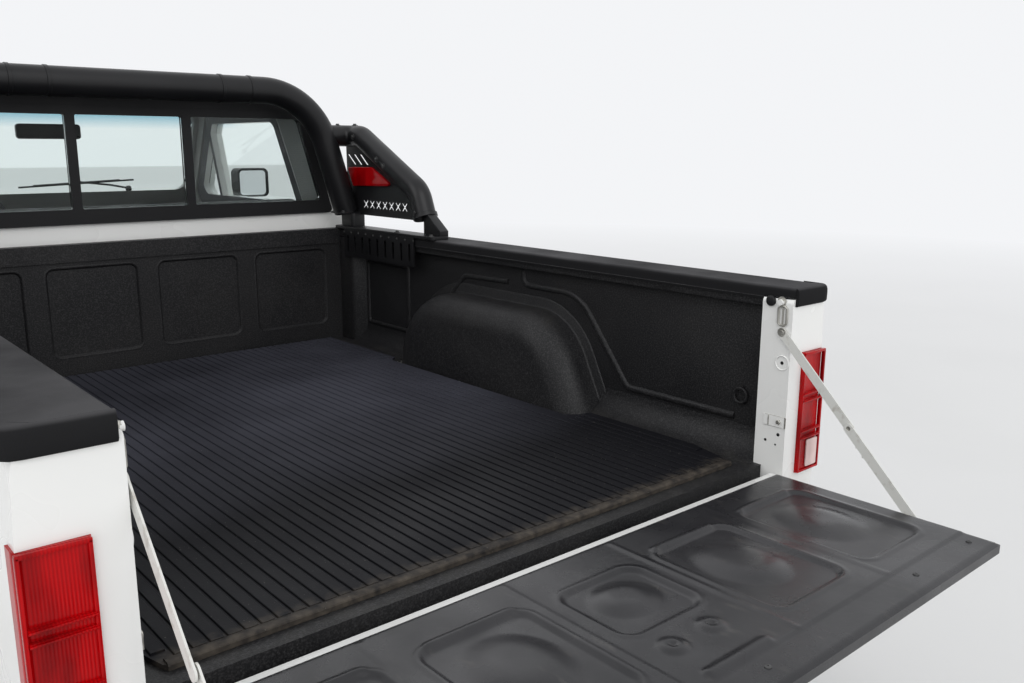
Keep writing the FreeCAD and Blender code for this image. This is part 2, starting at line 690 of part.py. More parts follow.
def front_side():
    """Side view of the fenders and hood."""
    rear, nose = yy(FENDER_REAR_STATION), yy(NOSE_STATION)
    return [
        (rear - 300.0, ROCKER_GROUND, 0.0),
        (nose, ROCKER_GROUND, 0.0),
        (nose, HOOD_FRONT_GROUND, NOSE_ROUNDING),
        (rear, HOOD_REAR_GROUND, 0.0),
        (rear - 300.0, HOOD_REAR_GROUND, 0.0),
    ]


def front_body(wall):
    """The front end as one closed body that drops towards the nose, its walls moved inward."""
    rear = yy(FENDER_REAR_STATION)
    section = Part.Face(outline(inset(front_section(), wall), "xz", rear))
    across = section.extrude(Vector(0.0, yy(NOSE_STATION) - rear, HOOD_FRONT_GROUND - HOOD_REAR_GROUND))
    along = plate(inset(front_side(), wall), "yz", -BODY_HALF_WIDTH - 5.0, BODY_HALF_WIDTH + 5.0)
    return across.common(along)


def make_fender():
    """The right-hand fender with its apron and wheel-arch liner."""
    rear, nose = yy(FENDER_REAR_STATION), yy(NOSE_STATION)
    axle = yy(FRONT_AXLE_STATION)
    outer = front_body(0.0)
    skin = outer.cut(front_body(SHEET).fuse(box(-ROCKER_HALF_WIDTH, ROCKER_HALF_WIDTH, rear - 1.0, nose - SHEET,
                                                ROCKER_GROUND - 1.0, ROCKER_GROUND + SHEET + 1.0)))
    skin = skin.common(box(HOOD_HALF_WIDTH + RUNNING_GAP, BODY_HALF_WIDTH + 5.0, rear, nose + 5.0,
                           ROCKER_GROUND, HOOD_REAR_GROUND + 50.0))
    liner = cylinder_x(FRONT_ARCH_RADIUS + SHEET, APRON_HALF_WIDTH, BODY_HALF_WIDTH - SHEET / 2.0, axle, TYRE_RADIUS)
    apron = box(APRON_HALF_WIDTH, APRON_HALF_WIDTH + SHEET, yy(CAB_FRONT_STATION) + RUNNING_GAP, nose - 60.0,
                FRAME_FRONT_TOP_GROUND + 20.0, HOOD_FRONT_GROUND - 60.0)
    shelf = box(APRON_HALF_WIDTH, BODY_HALF_WIDTH - 6.0, yy(CAB_FRONT_STATION) + RUNNING_GAP, nose - 60.0,
                HOOD_FRONT_GROUND - 60.0 - SHEET, HOOD_FRONT_GROUND - 60.0)
    top = box(HOOD_HALF_WIDTH + RUNNING_GAP, HOOD_HALF_WIDTH + RUNNING_GAP + SHEET,
              yy(CAB_FRONT_STATION) + RUNNING_GAP, nose - 60.0, HOOD_FRONT_GROUND - 60.0, HOOD_REAR_GROUND + 50.0)
    inner = liner.fuse([apron, shelf, top.common(outer)]).common(outer)
    fender = skin.fuse(inner)
    fender = fender.cut(cylinder_x(FRONT_ARCH_RADIUS, 0.0, BODY_HALF_WIDTH + 50.0, axle, TYRE_RADIUS))
    below = box(0.0, BODY_HALF_WIDTH + 50.0, rear, nose + 5.0, ROCKER_GROUND - 10.0, ROCKER_GROUND + 2.0)
    bumper_room = box(0.0, BODY_HALF_WIDTH + 50.0, nose - 175.0, nose + 5.0, ROCKER_GROUND - 10.0,
                      BUMPER_GROUND + BUMPER_HEIGHT + 8.0)
    cab_room_side = box(0.0, POST_HALF_WIDTH + FIT, rear - 5.0, yy(CAB_FRONT_STATION) + FIT,
                        ROCKER_GROUND - 10.0, HOOD_REAR_GROUND + 50.0)
    face = box(0.0, GRILLE_HALF_WIDTH + HEADLAMP_WIDTH + TURN_LAMP_WIDTH + FIT, nose - SHEET - 30.0, nose + 5.0,
               NOSE_GROUND, GRILLE_FOOT_GROUND + GRILLE_HEIGHT + FIT)
    return fender.cut([below, bumper_room, cab_room_side, face]).removeSplitter()


def make_hood():
    rear, nose = yy(CAB_FRONT_STATION) + HOOD_REAR_GAP, yy(NOSE_STATION)
    hood = front_body(0.0).cut(front_body(HOOD_THICKNESS))
    hood = hood.common(box(-HOOD_HALF_WIDTH, HOOD_HALF_WIDTH, rear, nose + 5.0,
                           GRILLE_FOOT_GROUND + GRILLE_HEIGHT + RUNNING_GAP, HOOD_REAR_GROUND + 50.0))
    return hood.cut(pair(hood_hinge()[1])).removeSplitter()


def make_grille():
    nose = yy(NOSE_STATION)
    foot, top = GRILLE_FOOT_GROUND, GRILLE_FOOT_GROUND + GRILLE_HEIGHT
    face = plate(rect(-GRILLE_HALF_WIDTH, GRILLE_HALF_WIDTH, foot, top, 12.0), "xz", nose - 40.0, nose)
    rim = plate(rect(-GRILLE_HALF_WIDTH + 16.0, GRILLE_HALF_WIDTH - 16.0, foot + 16.0, top - 16.0, 6.0),
                "xz", nose - 45.0, nose + 5.0)
    grille = face.cut(rim)
    pitch = (GRILLE_HEIGHT - 32.0) / (GRILLE_BARS + 1)
    for i in range(GRILLE_BARS):
        middle = foot + 16.0 + pitch * (i + 1)
        grille = grille.fuse(box(-GRILLE_HALF_WIDTH + 10.0, GRILLE_HALF_WIDTH - 10.0, nose - 34.0, nose - 8.0,
                                 middle - GRILLE_BAR / 2.0, middle + GRILLE_BAR / 2.0))
    upright = box(-GRILLE_BAR, GRILLE_BAR, nose - 34.0, nose - 6.0, foot + 10.0, top - 10.0)
    valance = plate(rect(-HOOD_HALF_WIDTH - RUNNING_GAP, HOOD_HALF_WIDTH + RUNNING_GAP,
                         BUMPER_GROUND + 70.0, foot - FIT, 0.0), "xz", nose - 30.0, nose - 30.0 + SHEET)
    return grille.fuse([upright, valance]).removeSplitter()


def make_headlamp():
    """The right-hand headlamp and turn lamp."""
    nose = yy(NOSE_STATION)
    inner = GRILLE_HALF_WIDTH + FIT
    foot = GRILLE_FOOT_GROUND
    top = foot + GRILLE_HEIGHT
    bezel = plate(rect(inner, inner + HEADLAMP_WIDTH + TURN_LAMP_WIDTH - FIT, foot, top, 8.0), "xz",
                  nose - 32.0, nose - 2.0)
    lens = plate(rect(inner + 16.0, inner + HEADLAMP_WIDTH - 8.0, (foot + top - HEADLAMP_HEIGHT) / 2.0,
                      (foot + top + HEADLAMP_HEIGHT) / 2.0, 14.0), "xz", nose - 10.0, nose + 6.0)
    turn = plate(rect(inner + HEADLAMP_WIDTH + 6.0, inner + HEADLAMP_WIDTH + TURN_LAMP_WIDTH - 14.0,
                      (foot + top - HEADLAMP_HEIGHT) / 2.0, (foot + top + HEADLAMP_HEIGHT) / 2.0, 10.0), "xz",
                 nose - 10.0, nose + 2.0)
    return bezel.fuse([lens, turn])


def make_front_bumper():
    """A pressed beam whose ends sweep back, with its two brackets."""
    front = yy(FRONT_STATION)
    sweep = 70.0
    plan = [
        (BODY_HALF_WIDTH - 220.0, front, 500.0),
        (BODY_HALF_WIDTH - 30.0, front - sweep, 90.0),
        (BODY_HALF_WIDTH - 8.0, front - sweep - 130.0, 0.0),
    ]
    outer = [(-p[0],) + p[1:] for p in reversed(plan)] + plan
    inner = [(p[0] * (1.0 - BUMPER_DEPTH / BODY_HALF_WIDTH), p[1] - BUMPER_DEPTH, p[2]) for p in outer[1:-1]]
    closed = outer + [(outer[-1][0] - BUMPER_DEPTH, outer[-1][1], 0.0)] + list(reversed(inner))
    closed = closed + [(outer[0][0] + BUMPER_DEPTH, outer[0][1], 0.0)]
    beam = plate(closed, "xy", BUMPER_GROUND, BUMPER_GROUND + BUMPER_HEIGHT)
    beam = beam.makeFillet(10.0, [e for e in beam.Edges if abs(e.BoundBox.ZLength) < 0.01
                                  and e.BoundBox.YMax > front - sweep - 125.0 and e.Length > 150.0
                                  and e.CenterOfMass.y > front - BUMPER_DEPTH + 8.0])
    arms = pair(box(RAIL_CENTRE - 20.0, RAIL_CENTRE + 20.0, yy(frame_front_station()),
                    front - BUMPER_DEPTH + 10.0, BUMPER_GROUND + 25.0, BUMPER_GROUND + 65.0))
    return beam.fuse(arms).removeSplitter()


def frame_front_station():
    """Station of the front ends of the frame rails."""
    return NOSE_STATION - 60.0


# Bed

def wheelhouse(grow, x_end):
    """The right-hand wheelhouse as a solid block above the floor's underside."""
    axle = yy(REAR_AXLE_STATION)
    radius = WHEELHOUSE_RADIUS + grow
    start = WHEELHOUSE_HALF_WIDTH - grow
    drum = cylinder_x(radius, start, x_end, axle, TYRE_RADIUS)
    rounding = WHEELHOUSE_ROUNDING + grow
    rim = [e for e in drum.Edges if abs(e.CenterOfMass.x - start) < 0.01 and e.Length > radius]
    drum = drum.makeFillet(rounding, rim)
    return drum.common(box(0.0, BODY_HALF_WIDTH, axle - radius - 1.0, axle + radius + 1.0, zz(-SHEET), zz(BED_DEPTH)))


def bead(points, half_width):
    """A raised bead on the bed's side wall along (station, height) points."""
    left, right = [], []
    for i, point in enumerate(points):
        before = points[max(i - 1, 0)]
        after = points[min(i + 1, len(points) - 1)]
        ax, ay = after[0] - before[0], after[1] - before[1]
        length = math.hypot(ax, ay)
        nx, ny = -ay / length * half_width, ax / length * half_width
        left.append((yy(point[0] + nx), zz(point[1] + ny), point[2]))
        right.append((yy(point[0] - nx), zz(point[1] - ny), point[2]))
    return plate(left + list(reversed(right)), "yz", WALL_HALF_WIDTH - BEAD_HEIGHT, WALL_HALF_WIDTH)


def make_inner_side():
    """The right-hand inner wall of the bed with its wheelhouse, rail flange and pressings."""
    rear, front = yy(0.0), yy(BED_LENGTH)
    wall = box(WALL_HALF_WIDTH, WALL_HALF_WIDTH + SHEET, rear + FIT, front - FIT, zz(FIT), zz(RAIL_HEIGHT - SHEET - FIT))
    flange = plate([
        (RAIL_LIP_HALF_WIDTH, zz(RAIL_HEIGHT - SHEET - RAIL_LIP_DEPTH)),
        (RAIL_LIP_HALF_WIDTH + SHEET, zz(RAIL_HEIGHT - SHEET - RAIL_LIP_DEPTH)),
        (RAIL_LIP_HALF_WIDTH + SHEET, zz(RAIL_HEIGHT - 2.0 * SHEET - FIT)),
        (WALL_HALF_WIDTH + SHEET, zz(RAIL_HEIGHT - 2.0 * SHEET - FIT)),
        (WALL_HALF_WIDTH + SHEET, zz(RAIL_HEIGHT - SHEET - FIT)),
        (RAIL_LIP_HALF_WIDTH, zz(RAIL_HEIGHT - SHEET - FIT), 3.0),
    ], "xz", rear + FIT, front - FIT)
    post = plate([
        (WALL_HALF_WIDTH + SHEET, yy(BED_LENGTH - CORNER_POST_WIDTH - 30.0)),
        (WALL_HALF_WIDTH, yy(BED_LENGTH - CORNER_POST_WIDTH - 30.0), 20.0),
        (WALL_HALF_WIDTH - CORNER_POST_DEPTH, yy(BED_LENGTH - CORNER_POST_WIDTH), 22.0),
        (WALL_HALF_WIDTH - CORNER_POST_DEPTH, front - FIT),
        (WALL_HALF_WIDTH + SHEET, front - FIT),
    ], "xy", zz(FIT), zz(RAIL_HEIGHT - 2.0 * SHEET - FIT))
    cove = plate([
        (WALL_HALF_WIDTH - 34.0, zz(FIT)),
        (WALL_HALF_WIDTH + SHEET, zz(FIT)),
        (WALL_HALF_WIDTH + SHEET, zz(40.0)),
        (WALL_HALF_WIDTH - 1.0, zz(36.0), 40.0),
    ], "xz", rear + FIT, front - FIT)
    beads = [
        bead([(1273.0, 286.0, 0.0), (1160.0, 330.0, 60.0), (990.0, 336.0, 0.0)], BEAD_WIDTH / 2.0),
        bead([(925.0, RAIL_HEIGHT - 40.0, 0.0), (905.0, 360.0, 20.0), (748.0, 343.0, 120.0), (600.0, 230.0, 200.0),
              (462.0, 88.0, 30.0), (96.0, 92.0, 0.0)], BEAD_WIDTH / 2.0),
    ]
    panel = plate(rect(yy(BED_LENGTH - CORNER_POST_WIDTH - 60.0), yy(1560.0), zz(74.0), zz(330.0), 22.0), "yz",
                  WALL_HALF_WIDTH - BEAD_HEIGHT, WALL_HALF_WIDTH)
    panel_inner = plate(rect(yy(BED_LENGTH - CORNER_POST_WIDTH - 60.0) - BEAD_WIDTH * 0.7, yy(1560.0) + BEAD_WIDTH * 0.7,
                             zz(74.0) + BEAD_WIDTH * 0.7, zz(330.0) - BEAD_WIDTH * 0.7, 12.0), "yz",
                        WALL_HALF_WIDTH - BEAD_HEIGHT - 1.0, WALL_HALF_WIDTH + 1.0)
    side = wall.fuse([flange, post, cove, panel.cut(panel_inner)] + beads)
    house = wheelhouse(0.0, WALL_HALF_WIDTH + SHEET)
    hollow = wheelhouse(-SHEET, WALL_HALF_WIDTH + 2.0 * SHEET)
    return side.fuse(house).cut(hollow).removeSplitter()


def make_bed_floor():
    """The floor sheet with its rear sill and the cross sills that carry it on the frame."""
    rear, front = yy(-SILL_OVERHANG), yy(BED_LENGTH)
    floor = box(-WALL_HALF_WIDTH - SHEET, WALL_HALF_WIDTH + SHEET, yy(FIT), front - FIT, zz(-SHEET), zz(0.0))
    lip = box(-OPENING_HALF_WIDTH + FIT, OPENING_HALF_WIDTH - FIT, rear, yy(FIT), zz(-SHEET), zz(0.0))
    drop = box(-OPENING_HALF_WIDTH + FIT, OPENING_HALF_WIDTH - FIT, rear, rear + SHEET, zz(-SILL_DEPTH), zz(0.0))
    cavity = wheelhouse(FIT, BODY_HALF_WIDTH)
    solids = [lip, drop]
    stations = [60.0, 500.0, REAR_AXLE_STATION, 1560.0, BED_LENGTH - 90.0]
    for station in stations:
        solids.append(box(-CROSS_SILL_HALF_LENGTH, CROSS_SILL_HALF_LENGTH, yy(station) - CROSS_SILL_WIDTH / 2.0,
                          yy(station) + CROSS_SILL_WIDTH / 2.0, FRAME_TOP_GROUND, zz(-SHEET)))
    rail_notch = box(RAIL_CENTRE - RAIL_WIDTH / 2.0 - FIT, RAIL_CENTRE + RAIL_WIDTH / 2.0 + FIT, rear - 1.0,
                     rear + SHEET + 1.0, zz(-SILL_DEPTH) - 1.0, FRAME_TOP_GROUND + FIT)
    return floor.fuse(solids).cut([pair(cavity), pair(rail_notch)]).removeSplitter()


def make_front_wall():
    """The bed's front wall with four pressed panels and a folded top flange."""
    near = yy(BED_LENGTH)
    half = WALL_HALF_WIDTH + SHEET
    wall = box(-half, half, near, near + PRESSING_DEPTH + SHEET, zz(-SHEET), zz(HEAD_FLANGE_FOOT))
    lip = RAIL_LIP_HALF_WIDTH - CAP_WALL - SHEET - 2.0 * FIT
    flange = box(-lip, lip, near - 6.0, near + FRONT_WALL_DEPTH - SHEET, zz(HEAD_FLANGE_FOOT), zz(BED_DEPTH))
    flange = flange.cut(box(-lip - 1.0, lip + 1.0, near + SHEET, near + FRONT_WALL_DEPTH, zz(HEAD_FLANGE_FOOT) - 1.0,
                            zz(BED_DEPTH - SHEET)))
    recess_cut = []
    for i in (-1.5, -0.5, 0.5, 1.5):
        middle = i * HEAD_PANEL_PITCH
        half_panel = HEAD_PANEL_WIDTH / 2.0
        recess_cut.append(plate(rect(middle - half_panel, middle + half_panel, zz(HEAD_PANEL_FOOT), zz(HEAD_PANEL_TOP),
                                     26.0), "xz", near - 1.0, near + PRESSING_DEPTH))
    return wall.fuse(flange).cut(recess_cut).removeSplitter()


def make_outer_side():
    """The right-hand outer panel of the bed with its rear pillar."""
    rear, front = yy(-PILLAR_DEPTH), yy(BED_LENGTH + FRONT_WALL_DEPTH)
    foot, top = zz(-BED_SKIRT), zz(RAIL_HEIGHT)
    skin_line = [
        (ROCKER_HALF_WIDTH, foot, 0.0),
        (BODY_HALF_WIDTH - 4.0, BED_FLOOR_GROUND, 500.0),
        (BODY_HALF_WIDTH, (BED_FLOOR_GROUND + SHOULDER_GROUND) / 2.0, 900.0),
        (SHOULDER_HALF_WIDTH, SHOULDER_GROUND - 25.0, 60.0),
        (SHOULDER_HALF_WIDTH - 8.0, top, 4.0),
    ]
    solid = plate(skin_line + [(OPENING_HALF_WIDTH, top, 14.0), (OPENING_HALF_WIDTH, foot, 0.0)], "xz", rear, front)
    hollow_line = inset(skin_line + [(0.0, top, 0.0), (0.0, foot, 0.0)], SHEET)
    hollow = plate(hollow_line, "xz", yy(0.0), front - SHEET)
    inner_side = box(0.0, WALL_HALF_WIDTH + SHEET + FIT, yy(0.0), front + 1.0, foot - 1.0, top - SHEET)
    low = box(0.0, BODY_HALF_WIDTH, yy(0.0) - 1.0, front + 1.0, foot - 1.0, foot + SHEET + 1.0)
    skirt = plate([(ROCKER_HALF_WIDTH - SHEET, foot), (ROCKER_HALF_WIDTH, foot),
                   (BODY_HALF_WIDTH, foot + 2.0 * SHEET), (ROCKER_HALF_WIDTH - SHEET, foot + 2.0 * SHEET)],
                  "xz", yy(0.0) - 1.0, front)
    panel = solid.cut(hollow).cut(inner_side)
    panel = panel.cut(low.cut(skirt))
    rail_top = box(RAIL_LIP_HALF_WIDTH - CAP_WALL, WALL_HALF_WIDTH + 20.0, yy(0.0), front, top - SHEET, top)
    panel = panel.fuse(rail_top)
    pillar_cut = box(0.0, OPENING_HALF_WIDTH + 30.0, rear - 1.0, yy(0.0), foot - 1.0, zz(-SILL_DEPTH))
    panel = panel.cut(pillar_cut)
    panel = panel.cut(cylinder_x(ARCH_RADIUS, OPENING_HALF_WIDTH - 100.0, BODY_HALF_WIDTH + 20.0,
                                 yy(REAR_AXLE_STATION), TYRE_RADIUS))
    lamp = box(LAMP_HALF_WIDTH_IN - FIT, BODY_HALF_WIDTH + 20.0, rear - 5.0, rear + LAMP_DEPTH + FIT,
               zz(LAMP_FOOT) - FIT, zz(LAMP_FOOT + LAMP_HEIGHT) + FIT)
    panel = panel.cut(lamp)
    hinge_pin = cylinder_x(HINGE_PIN_RADIUS, GATE_HALF_WIDTH - 4.0 - HINGE_EAR_THICKNESS, OPENING_HALF_WIDTH + 5.0,
                           yy(HINGE_STATION), zz(-HINGE_DROP))
    pin_boss = cylinder_x(HINGE_EYE_RADIUS, OPENING_HALF_WIDTH - 6.0, OPENING_HALF_WIDTH + 20.0,
                          yy(HINGE_STATION), zz(-HINGE_DROP))
    strap_pin = cylinder_x(STRAP_PIN_RADIUS, GATE_HALF_WIDTH + 9.0, OPENING_HALF_WIDTH + 5.0,
                           yy(STRAP_PIVOT_STATION), zz(STRAP_PIVOT_HEIGHT))
    striker = cylinder_x(7.0, OPENING_HALF_WIDTH - 10.0, OPENING_HALF_WIDTH + 5.0, yy(-52.0), zz(PILLAR_TOP - 18.0))
    latch = box(OPENING_HALF_WIDTH - 2.0, OPENING_HALF_WIDTH + 2.0, yy(-PILLAR_DEPTH + 3.0), yy(-22.0),
                zz(105.0), zz(131.0))
    return panel.fuse([hinge_pin, pin_boss, strap_pin, striker, latch]).removeSplitter()


def make_rail_cap():
    """The right-hand plastic cap over the bed rail."""
    rear, front = yy(-PILLAR_DEPTH), yy(BED_LENGTH + FRONT_WALL_DEPTH)
    inner = RAIL_LIP_HALF_WIDTH - CAP_WALL - FIT - SHEET
    outer = SHOULDER_HALF_WIDTH + CAP_OVERLAP
    top = zz(BED_DEPTH)
    foot = zz(RAIL_HEIGHT + FIT)
    cap = plate([
        (inner, foot), (outer, foot - 14.0), (outer, top, 14.0), (inner, top, 10.0),
    ], "xz", rear, front)
    under = plate([
        (0.0, foot - 30.0), (outer - CAP_WALL, foot - 30.0), (outer - CAP_WALL, foot), (0.0, foot),
    ], "xz", rear - 1.0, front + 1.0)
    corner = plate([
        (outer - CAP_CHAMFER, rear - 1.0), (outer + 1.0, rear - 1.0), (outer + 1.0, rear + CAP_CHAMFER),
    ], "xy", foot - 40.0, top + 1.0)
    return cap.cut(under).cut(corner)


def make_mat():
    """The rubber floor mat, cut round the wheelhouses."""
    rear, front = yy(MAT_REAR_STATION), yy(BED_LENGTH - MAT_FRONT_GAP)
    flare = rear + MAT_FLARE_LENGTH
    mat = plate(both_halves([
        (MAT_REAR_HALF_WIDTH, rear, 10.0),
        (MAT_HALF_WIDTH, flare, 100.0),
        (MAT_HALF_WIDTH, front, 30.0),
    ]), "xy", zz(0.0), zz(MAT_THICKNESS))
    reach = math.sqrt((WHEELHOUSE_RADIUS + MAT_WHEEL_GAP) ** 2 - (BED_FLOOR_GROUND - TYRE_RADIUS) ** 2)
    axle = yy(REAR_AXLE_STATION)
    notch = plate(rect(WHEELHOUSE_HALF_WIDTH - MAT_WHEEL_GAP, BODY_HALF_WIDTH, axle - reach, axle + reach, 40.0),
                  "xy", zz(0.0) - 1.0, zz(MAT_THICKNESS) + 1.0)
    corner = box(WALL_HALF_WIDTH - CORNER_POST_DEPTH - 2.0, WALL_HALF_WIDTH, yy(BED_LENGTH - CORNER_POST_WIDTH - 34.0),
                 front + 1.0, zz(0.0) - 1.0, zz(MAT_THICKNESS) + 1.0)
    return mat.cut([pair(notch), pair(corner)])


def make_rear_lamp():
    """The right-hand tail lamp with its double ribs."""
    rear = yy(-PILLAR_DEPTH)
    foot, top = zz(LAMP_FOOT), zz(LAMP_FOOT + LAMP_HEIGHT)
    outer = SHOULDER_HALF_WIDTH + 8.0
    body = plate([
        (LAMP_HALF_WIDTH_IN, rear + LAMP_DEPTH),
        (LAMP_HALF_WIDTH_IN, rear - LAMP_PROUD, 6.0),
        (outer, rear - LAMP_PROUD + 4.0, 14.0),
        (outer, rear + LAMP_DEPTH),
    ], "xy", foot, top)
    ribs = []
    for share in (0.37, 0.68):
        for step in (-9.0, 9.0):
            z = top - share * LAMP_HEIGHT + step
            ribs.append(box(LAMP_HALF_WIDTH_IN + 2.0, outer - 6.0, rear - LAMP_PROUD - LAMP_RIB, rear,
                            z - 3.0, z + 3.0))
    return body.fuse(ribs).removeSplitter()


# Tailgate, in its open position

def make_tailgate():
    near, far = yy(GATE_NEAR), yy(GATE_FAR)
    face = zz(-GATE_SINK)
    back = face - GATE_THICKNESS
    gate = plate([
        (near, face, 3.0),
        (far, face, 5.0),
        (far, face - GATE_EDGE_THICKNESS, 8.0),
        (far + GATE_TAPER_LENGTH, back, 30.0),
        (near, back, 8.0),
    ], "yz", -GATE_HALF_WIDTH, GATE_HALF_WIDTH)
    handle_middle = far + GATE_TAPER_LENGTH + HANDLE_HEIGHT
    pocket = plate(rect(-HANDLE_WIDTH / 2.0, HANDLE_WIDTH / 2.0, handle_middle - HANDLE_HEIGHT / 2.0,
                        handle_middle + HANDLE_HEIGHT / 2.0, 14.0), "xy", back - 1.0, back + HANDLE_DEPTH)
    paddle = plate(rect(-HANDLE_WIDTH / 2.0 + 12.0, HANDLE_WIDTH / 2.0 - 12.0, handle_middle - HANDLE_HEIGHT / 2.0 - 1.0,
                        handle_middle + 6.0, 4.0), "xy", back + 2.0, back + HANDLE_DEPTH + 2.0)
    panel = plate(rect(-GATE_HALF_WIDTH + 90.0, GATE_HALF_WIDTH - 90.0, near - 300.0, near - 70.0, 30.0), "xy",
                  back - 1.0, back + 3.0)
    gate = gate.cut([pocket, panel]).fuse(paddle)
    ear = plate([
        (yy(HINGE_STATION) + HINGE_EYE_RADIUS, zz(-HINGE_DROP) - HINGE_EYE_RADIUS, HINGE_EYE_RADIUS - 1.0),
        (yy(HINGE_STATION) + HINGE_EYE_RADIUS, zz(-HINGE_DROP) + HINGE_EYE_RADIUS, HINGE_EYE_RADIUS - 1.0),
        (near - 20.0, zz(-HINGE_DROP) + HINGE_EYE_RADIUS + 6.0),
        (near - 60.0, back + 4.0),
        (near - 60.0, back - 4.0),
        (near - 20.0, zz(-HINGE_DROP) - HINGE_EYE_RADIUS),
    ], "yz", GATE_HALF_WIDTH - 4.0 - HINGE_EAR_THICKNESS, GATE_HALF_WIDTH - 4.0)
    eye = cylinder_x(HINGE_PIN_RADIUS + HINGE_PIN_GAP, GATE_HALF_WIDTH - 30.0, GATE_HALF_WIDTH,
                     yy(HINGE_STATION), zz(-HINGE_DROP))
    gate = gate.fuse(pair(ear)).cut(pair(eye))
    pin = cylinder_x(STRAP_PIN_RADIUS, GATE_HALF_WIDTH - 5.0, GATE_HALF_WIDTH + 4.0 + STRAP_THICKNESS,
                     strap_gate_pin().y, strap_gate_pin().z)
    return gate.fuse(pair(pin)).removeSplitter()


def make_gate_liner():
    """The liner on the gate's inner face, with five recessed pans and a step near the top edge."""
    near, far = yy(GATE_NEAR) - LINER_LIP, yy(GATE_FAR) + LINER_MARGIN
    foot = zz(-GATE_SINK) + FIT
    half = GATE_HALF_WIDTH - LINER_MARGIN
    liner = plate(rect(-half, half, far, near, 12.0), "xy", foot, foot + LINER_THICKNESS)
    step = box(-half - 1.0, half + 1.0, far - 1.0, far + 62.0, foot + LINER_THICKNESS - 3.0, foot + LINER_THICKNESS + 1.0)
    pans = [
        # middle x, half width, near station, far station
        (0.0, 100.0, -180.0, -360.0),
        (275.0, 112.0, -170.0, -464.0),
        (560.0, 112.0, -165.0, -464.0),
    ]
    cuts = [step]
    for middle, half_pan, pan_near, pan_far in pans:
        for side in ((1.0,) if middle == 0.0 else (1.0, -1.0)):
            cuts.append(plate(rect(side * middle - half_pan, side * middle + half_pan, yy(pan_far), yy(pan_near), 34.0),
                              "xy", foot + LINER_THICKNESS - PAN_DEPTH, foot + LINER_THICKNESS + 1.0))
    bulge = plate(rect(-90.0, 90.0, yy(-515.0), yy(-486.0), 14.0), "xy", foot, foot + LINER_THICKNESS + 5.0)
    studs = [Part.makeCylinder(13.0, LINER_THICKNESS + 3.0, Vector(x, yy(-417.0), foot)) for x in (-52.0, 46.0)]
    return liner.cut(cuts).fuse([bulge] + studs).removeSplitter()


# Straps

def strap_pivot():
    return Vector(0.0, yy(STRAP_PIVOT_STATION), zz(STRAP_PIVOT_HEIGHT))


def strap_direction():
    slope = math.radians(STRAP_SLOPE)
    return Vector(0.0, -math.cos(slope), -math.sin(slope))


def strap_gate_pin():
    return strap_pivot() + strap_direction() * STRAP_LENGTH


def strap_link(start, end, x0):
    """A flat bar with round ends between two pivots, in a plane of constant x."""
    along = (end - start).normalize()
    across = Vector(0.0, -along.z, along.y) * (STRAP_WIDTH / 2.0)
    rounding = STRAP_WIDTH / 2.0 - 0.5
    points = []
    for p in (start - along * (STRAP_WIDTH / 2.0) + across, start - along * (STRAP_WIDTH / 2.0) - across,
              end + along * (STRAP_WIDTH / 2.0) - across, end + along * (STRAP_WIDTH / 2.0) + across):
        points.append((p.y, p.z, rounding))
    return plate(points, "yz", x0, x0 + STRAP_THICKNESS)


def make_strap_links():
    """The right-hand strap: the link on the pillar and the link on the gate."""
    upper_x = OPENING_HALF_WIDTH - 6.0
    lower_x = GATE_HALF_WIDTH + 3.5
    knee = strap_pivot() + strap_direction() * STRAP_UPPER_LENGTH
    upper = strap_link(strap_pivot(), knee, upper_x)
    hole = cylinder_x(STRAP_PIN_RADIUS + STRAP_PIN_GAP, upper_x - 5.0, upper_x + 10.0, strap_pivot().y, strap_pivot().z)
    stub = cylinder_x(STRAP_PIN_RADIUS - STRAP_PIN_GAP, lower_x + STRAP_THICKNESS + FIT, upper_x + 1.0, knee.y, knee.z)
    upper = upper.cut(hole).fuse(stub)
    lower = strap_link(knee, strap_gate_pin(), lower_x)
    knee_hole = cylinder_x(STRAP_PIN_RADIUS + STRAP_PIN_GAP, lower_x - 5.0, lower_x + 5.0, knee.y, knee.z)
    gate_hole = cylinder_x(STRAP_PIN_RADIUS + STRAP_PIN_GAP, lower_x - 5.0, lower_x + 5.0,
                           strap_gate_pin().y, strap_gate_pin().z)
    return upper, lower.cut([knee_hole, gate_hole])


# Sports bar

def bar_foot():
    """Underside of the sports bar's base plates."""
    return zz(BED_DEPTH) + FIT


def make_hoop():
    y = yy(HOOP_STATION)
    top = zz(HOOP_TOP) - HOOP_RADIUS
    foot = bar_foot() + BAR_BASE_THICKNESS + BAR_STAND_HEIGHT + FIT
    right = [Vector(HOOP_FOOT_HALF_WIDTH, y, foot), Vector(HOOP_SHOULDER_HALF_WIDTH, y, top)]
    left = [Vector(-p.x, p.y, p.z) for p in reversed(right)]
    hoop = pipe(right + left, HOOP_BEND, HOOP_RADIUS)
    clamps = [cylinder_x(HOOP_RADIUS + 2.0, x - 5.0, x + 5.0, y, top) for x in (-290.0, 290.0)]
    return hoop.fuse(clamps).removeSplitter()


def sail_points():
    """Centre line of the right-hand sail tube as (station, height)."""
    return [(1985.0, 796.0), (1868.0, 794.0), (1478.0, 600.0), (1440.0, SAIL_FOOT)]


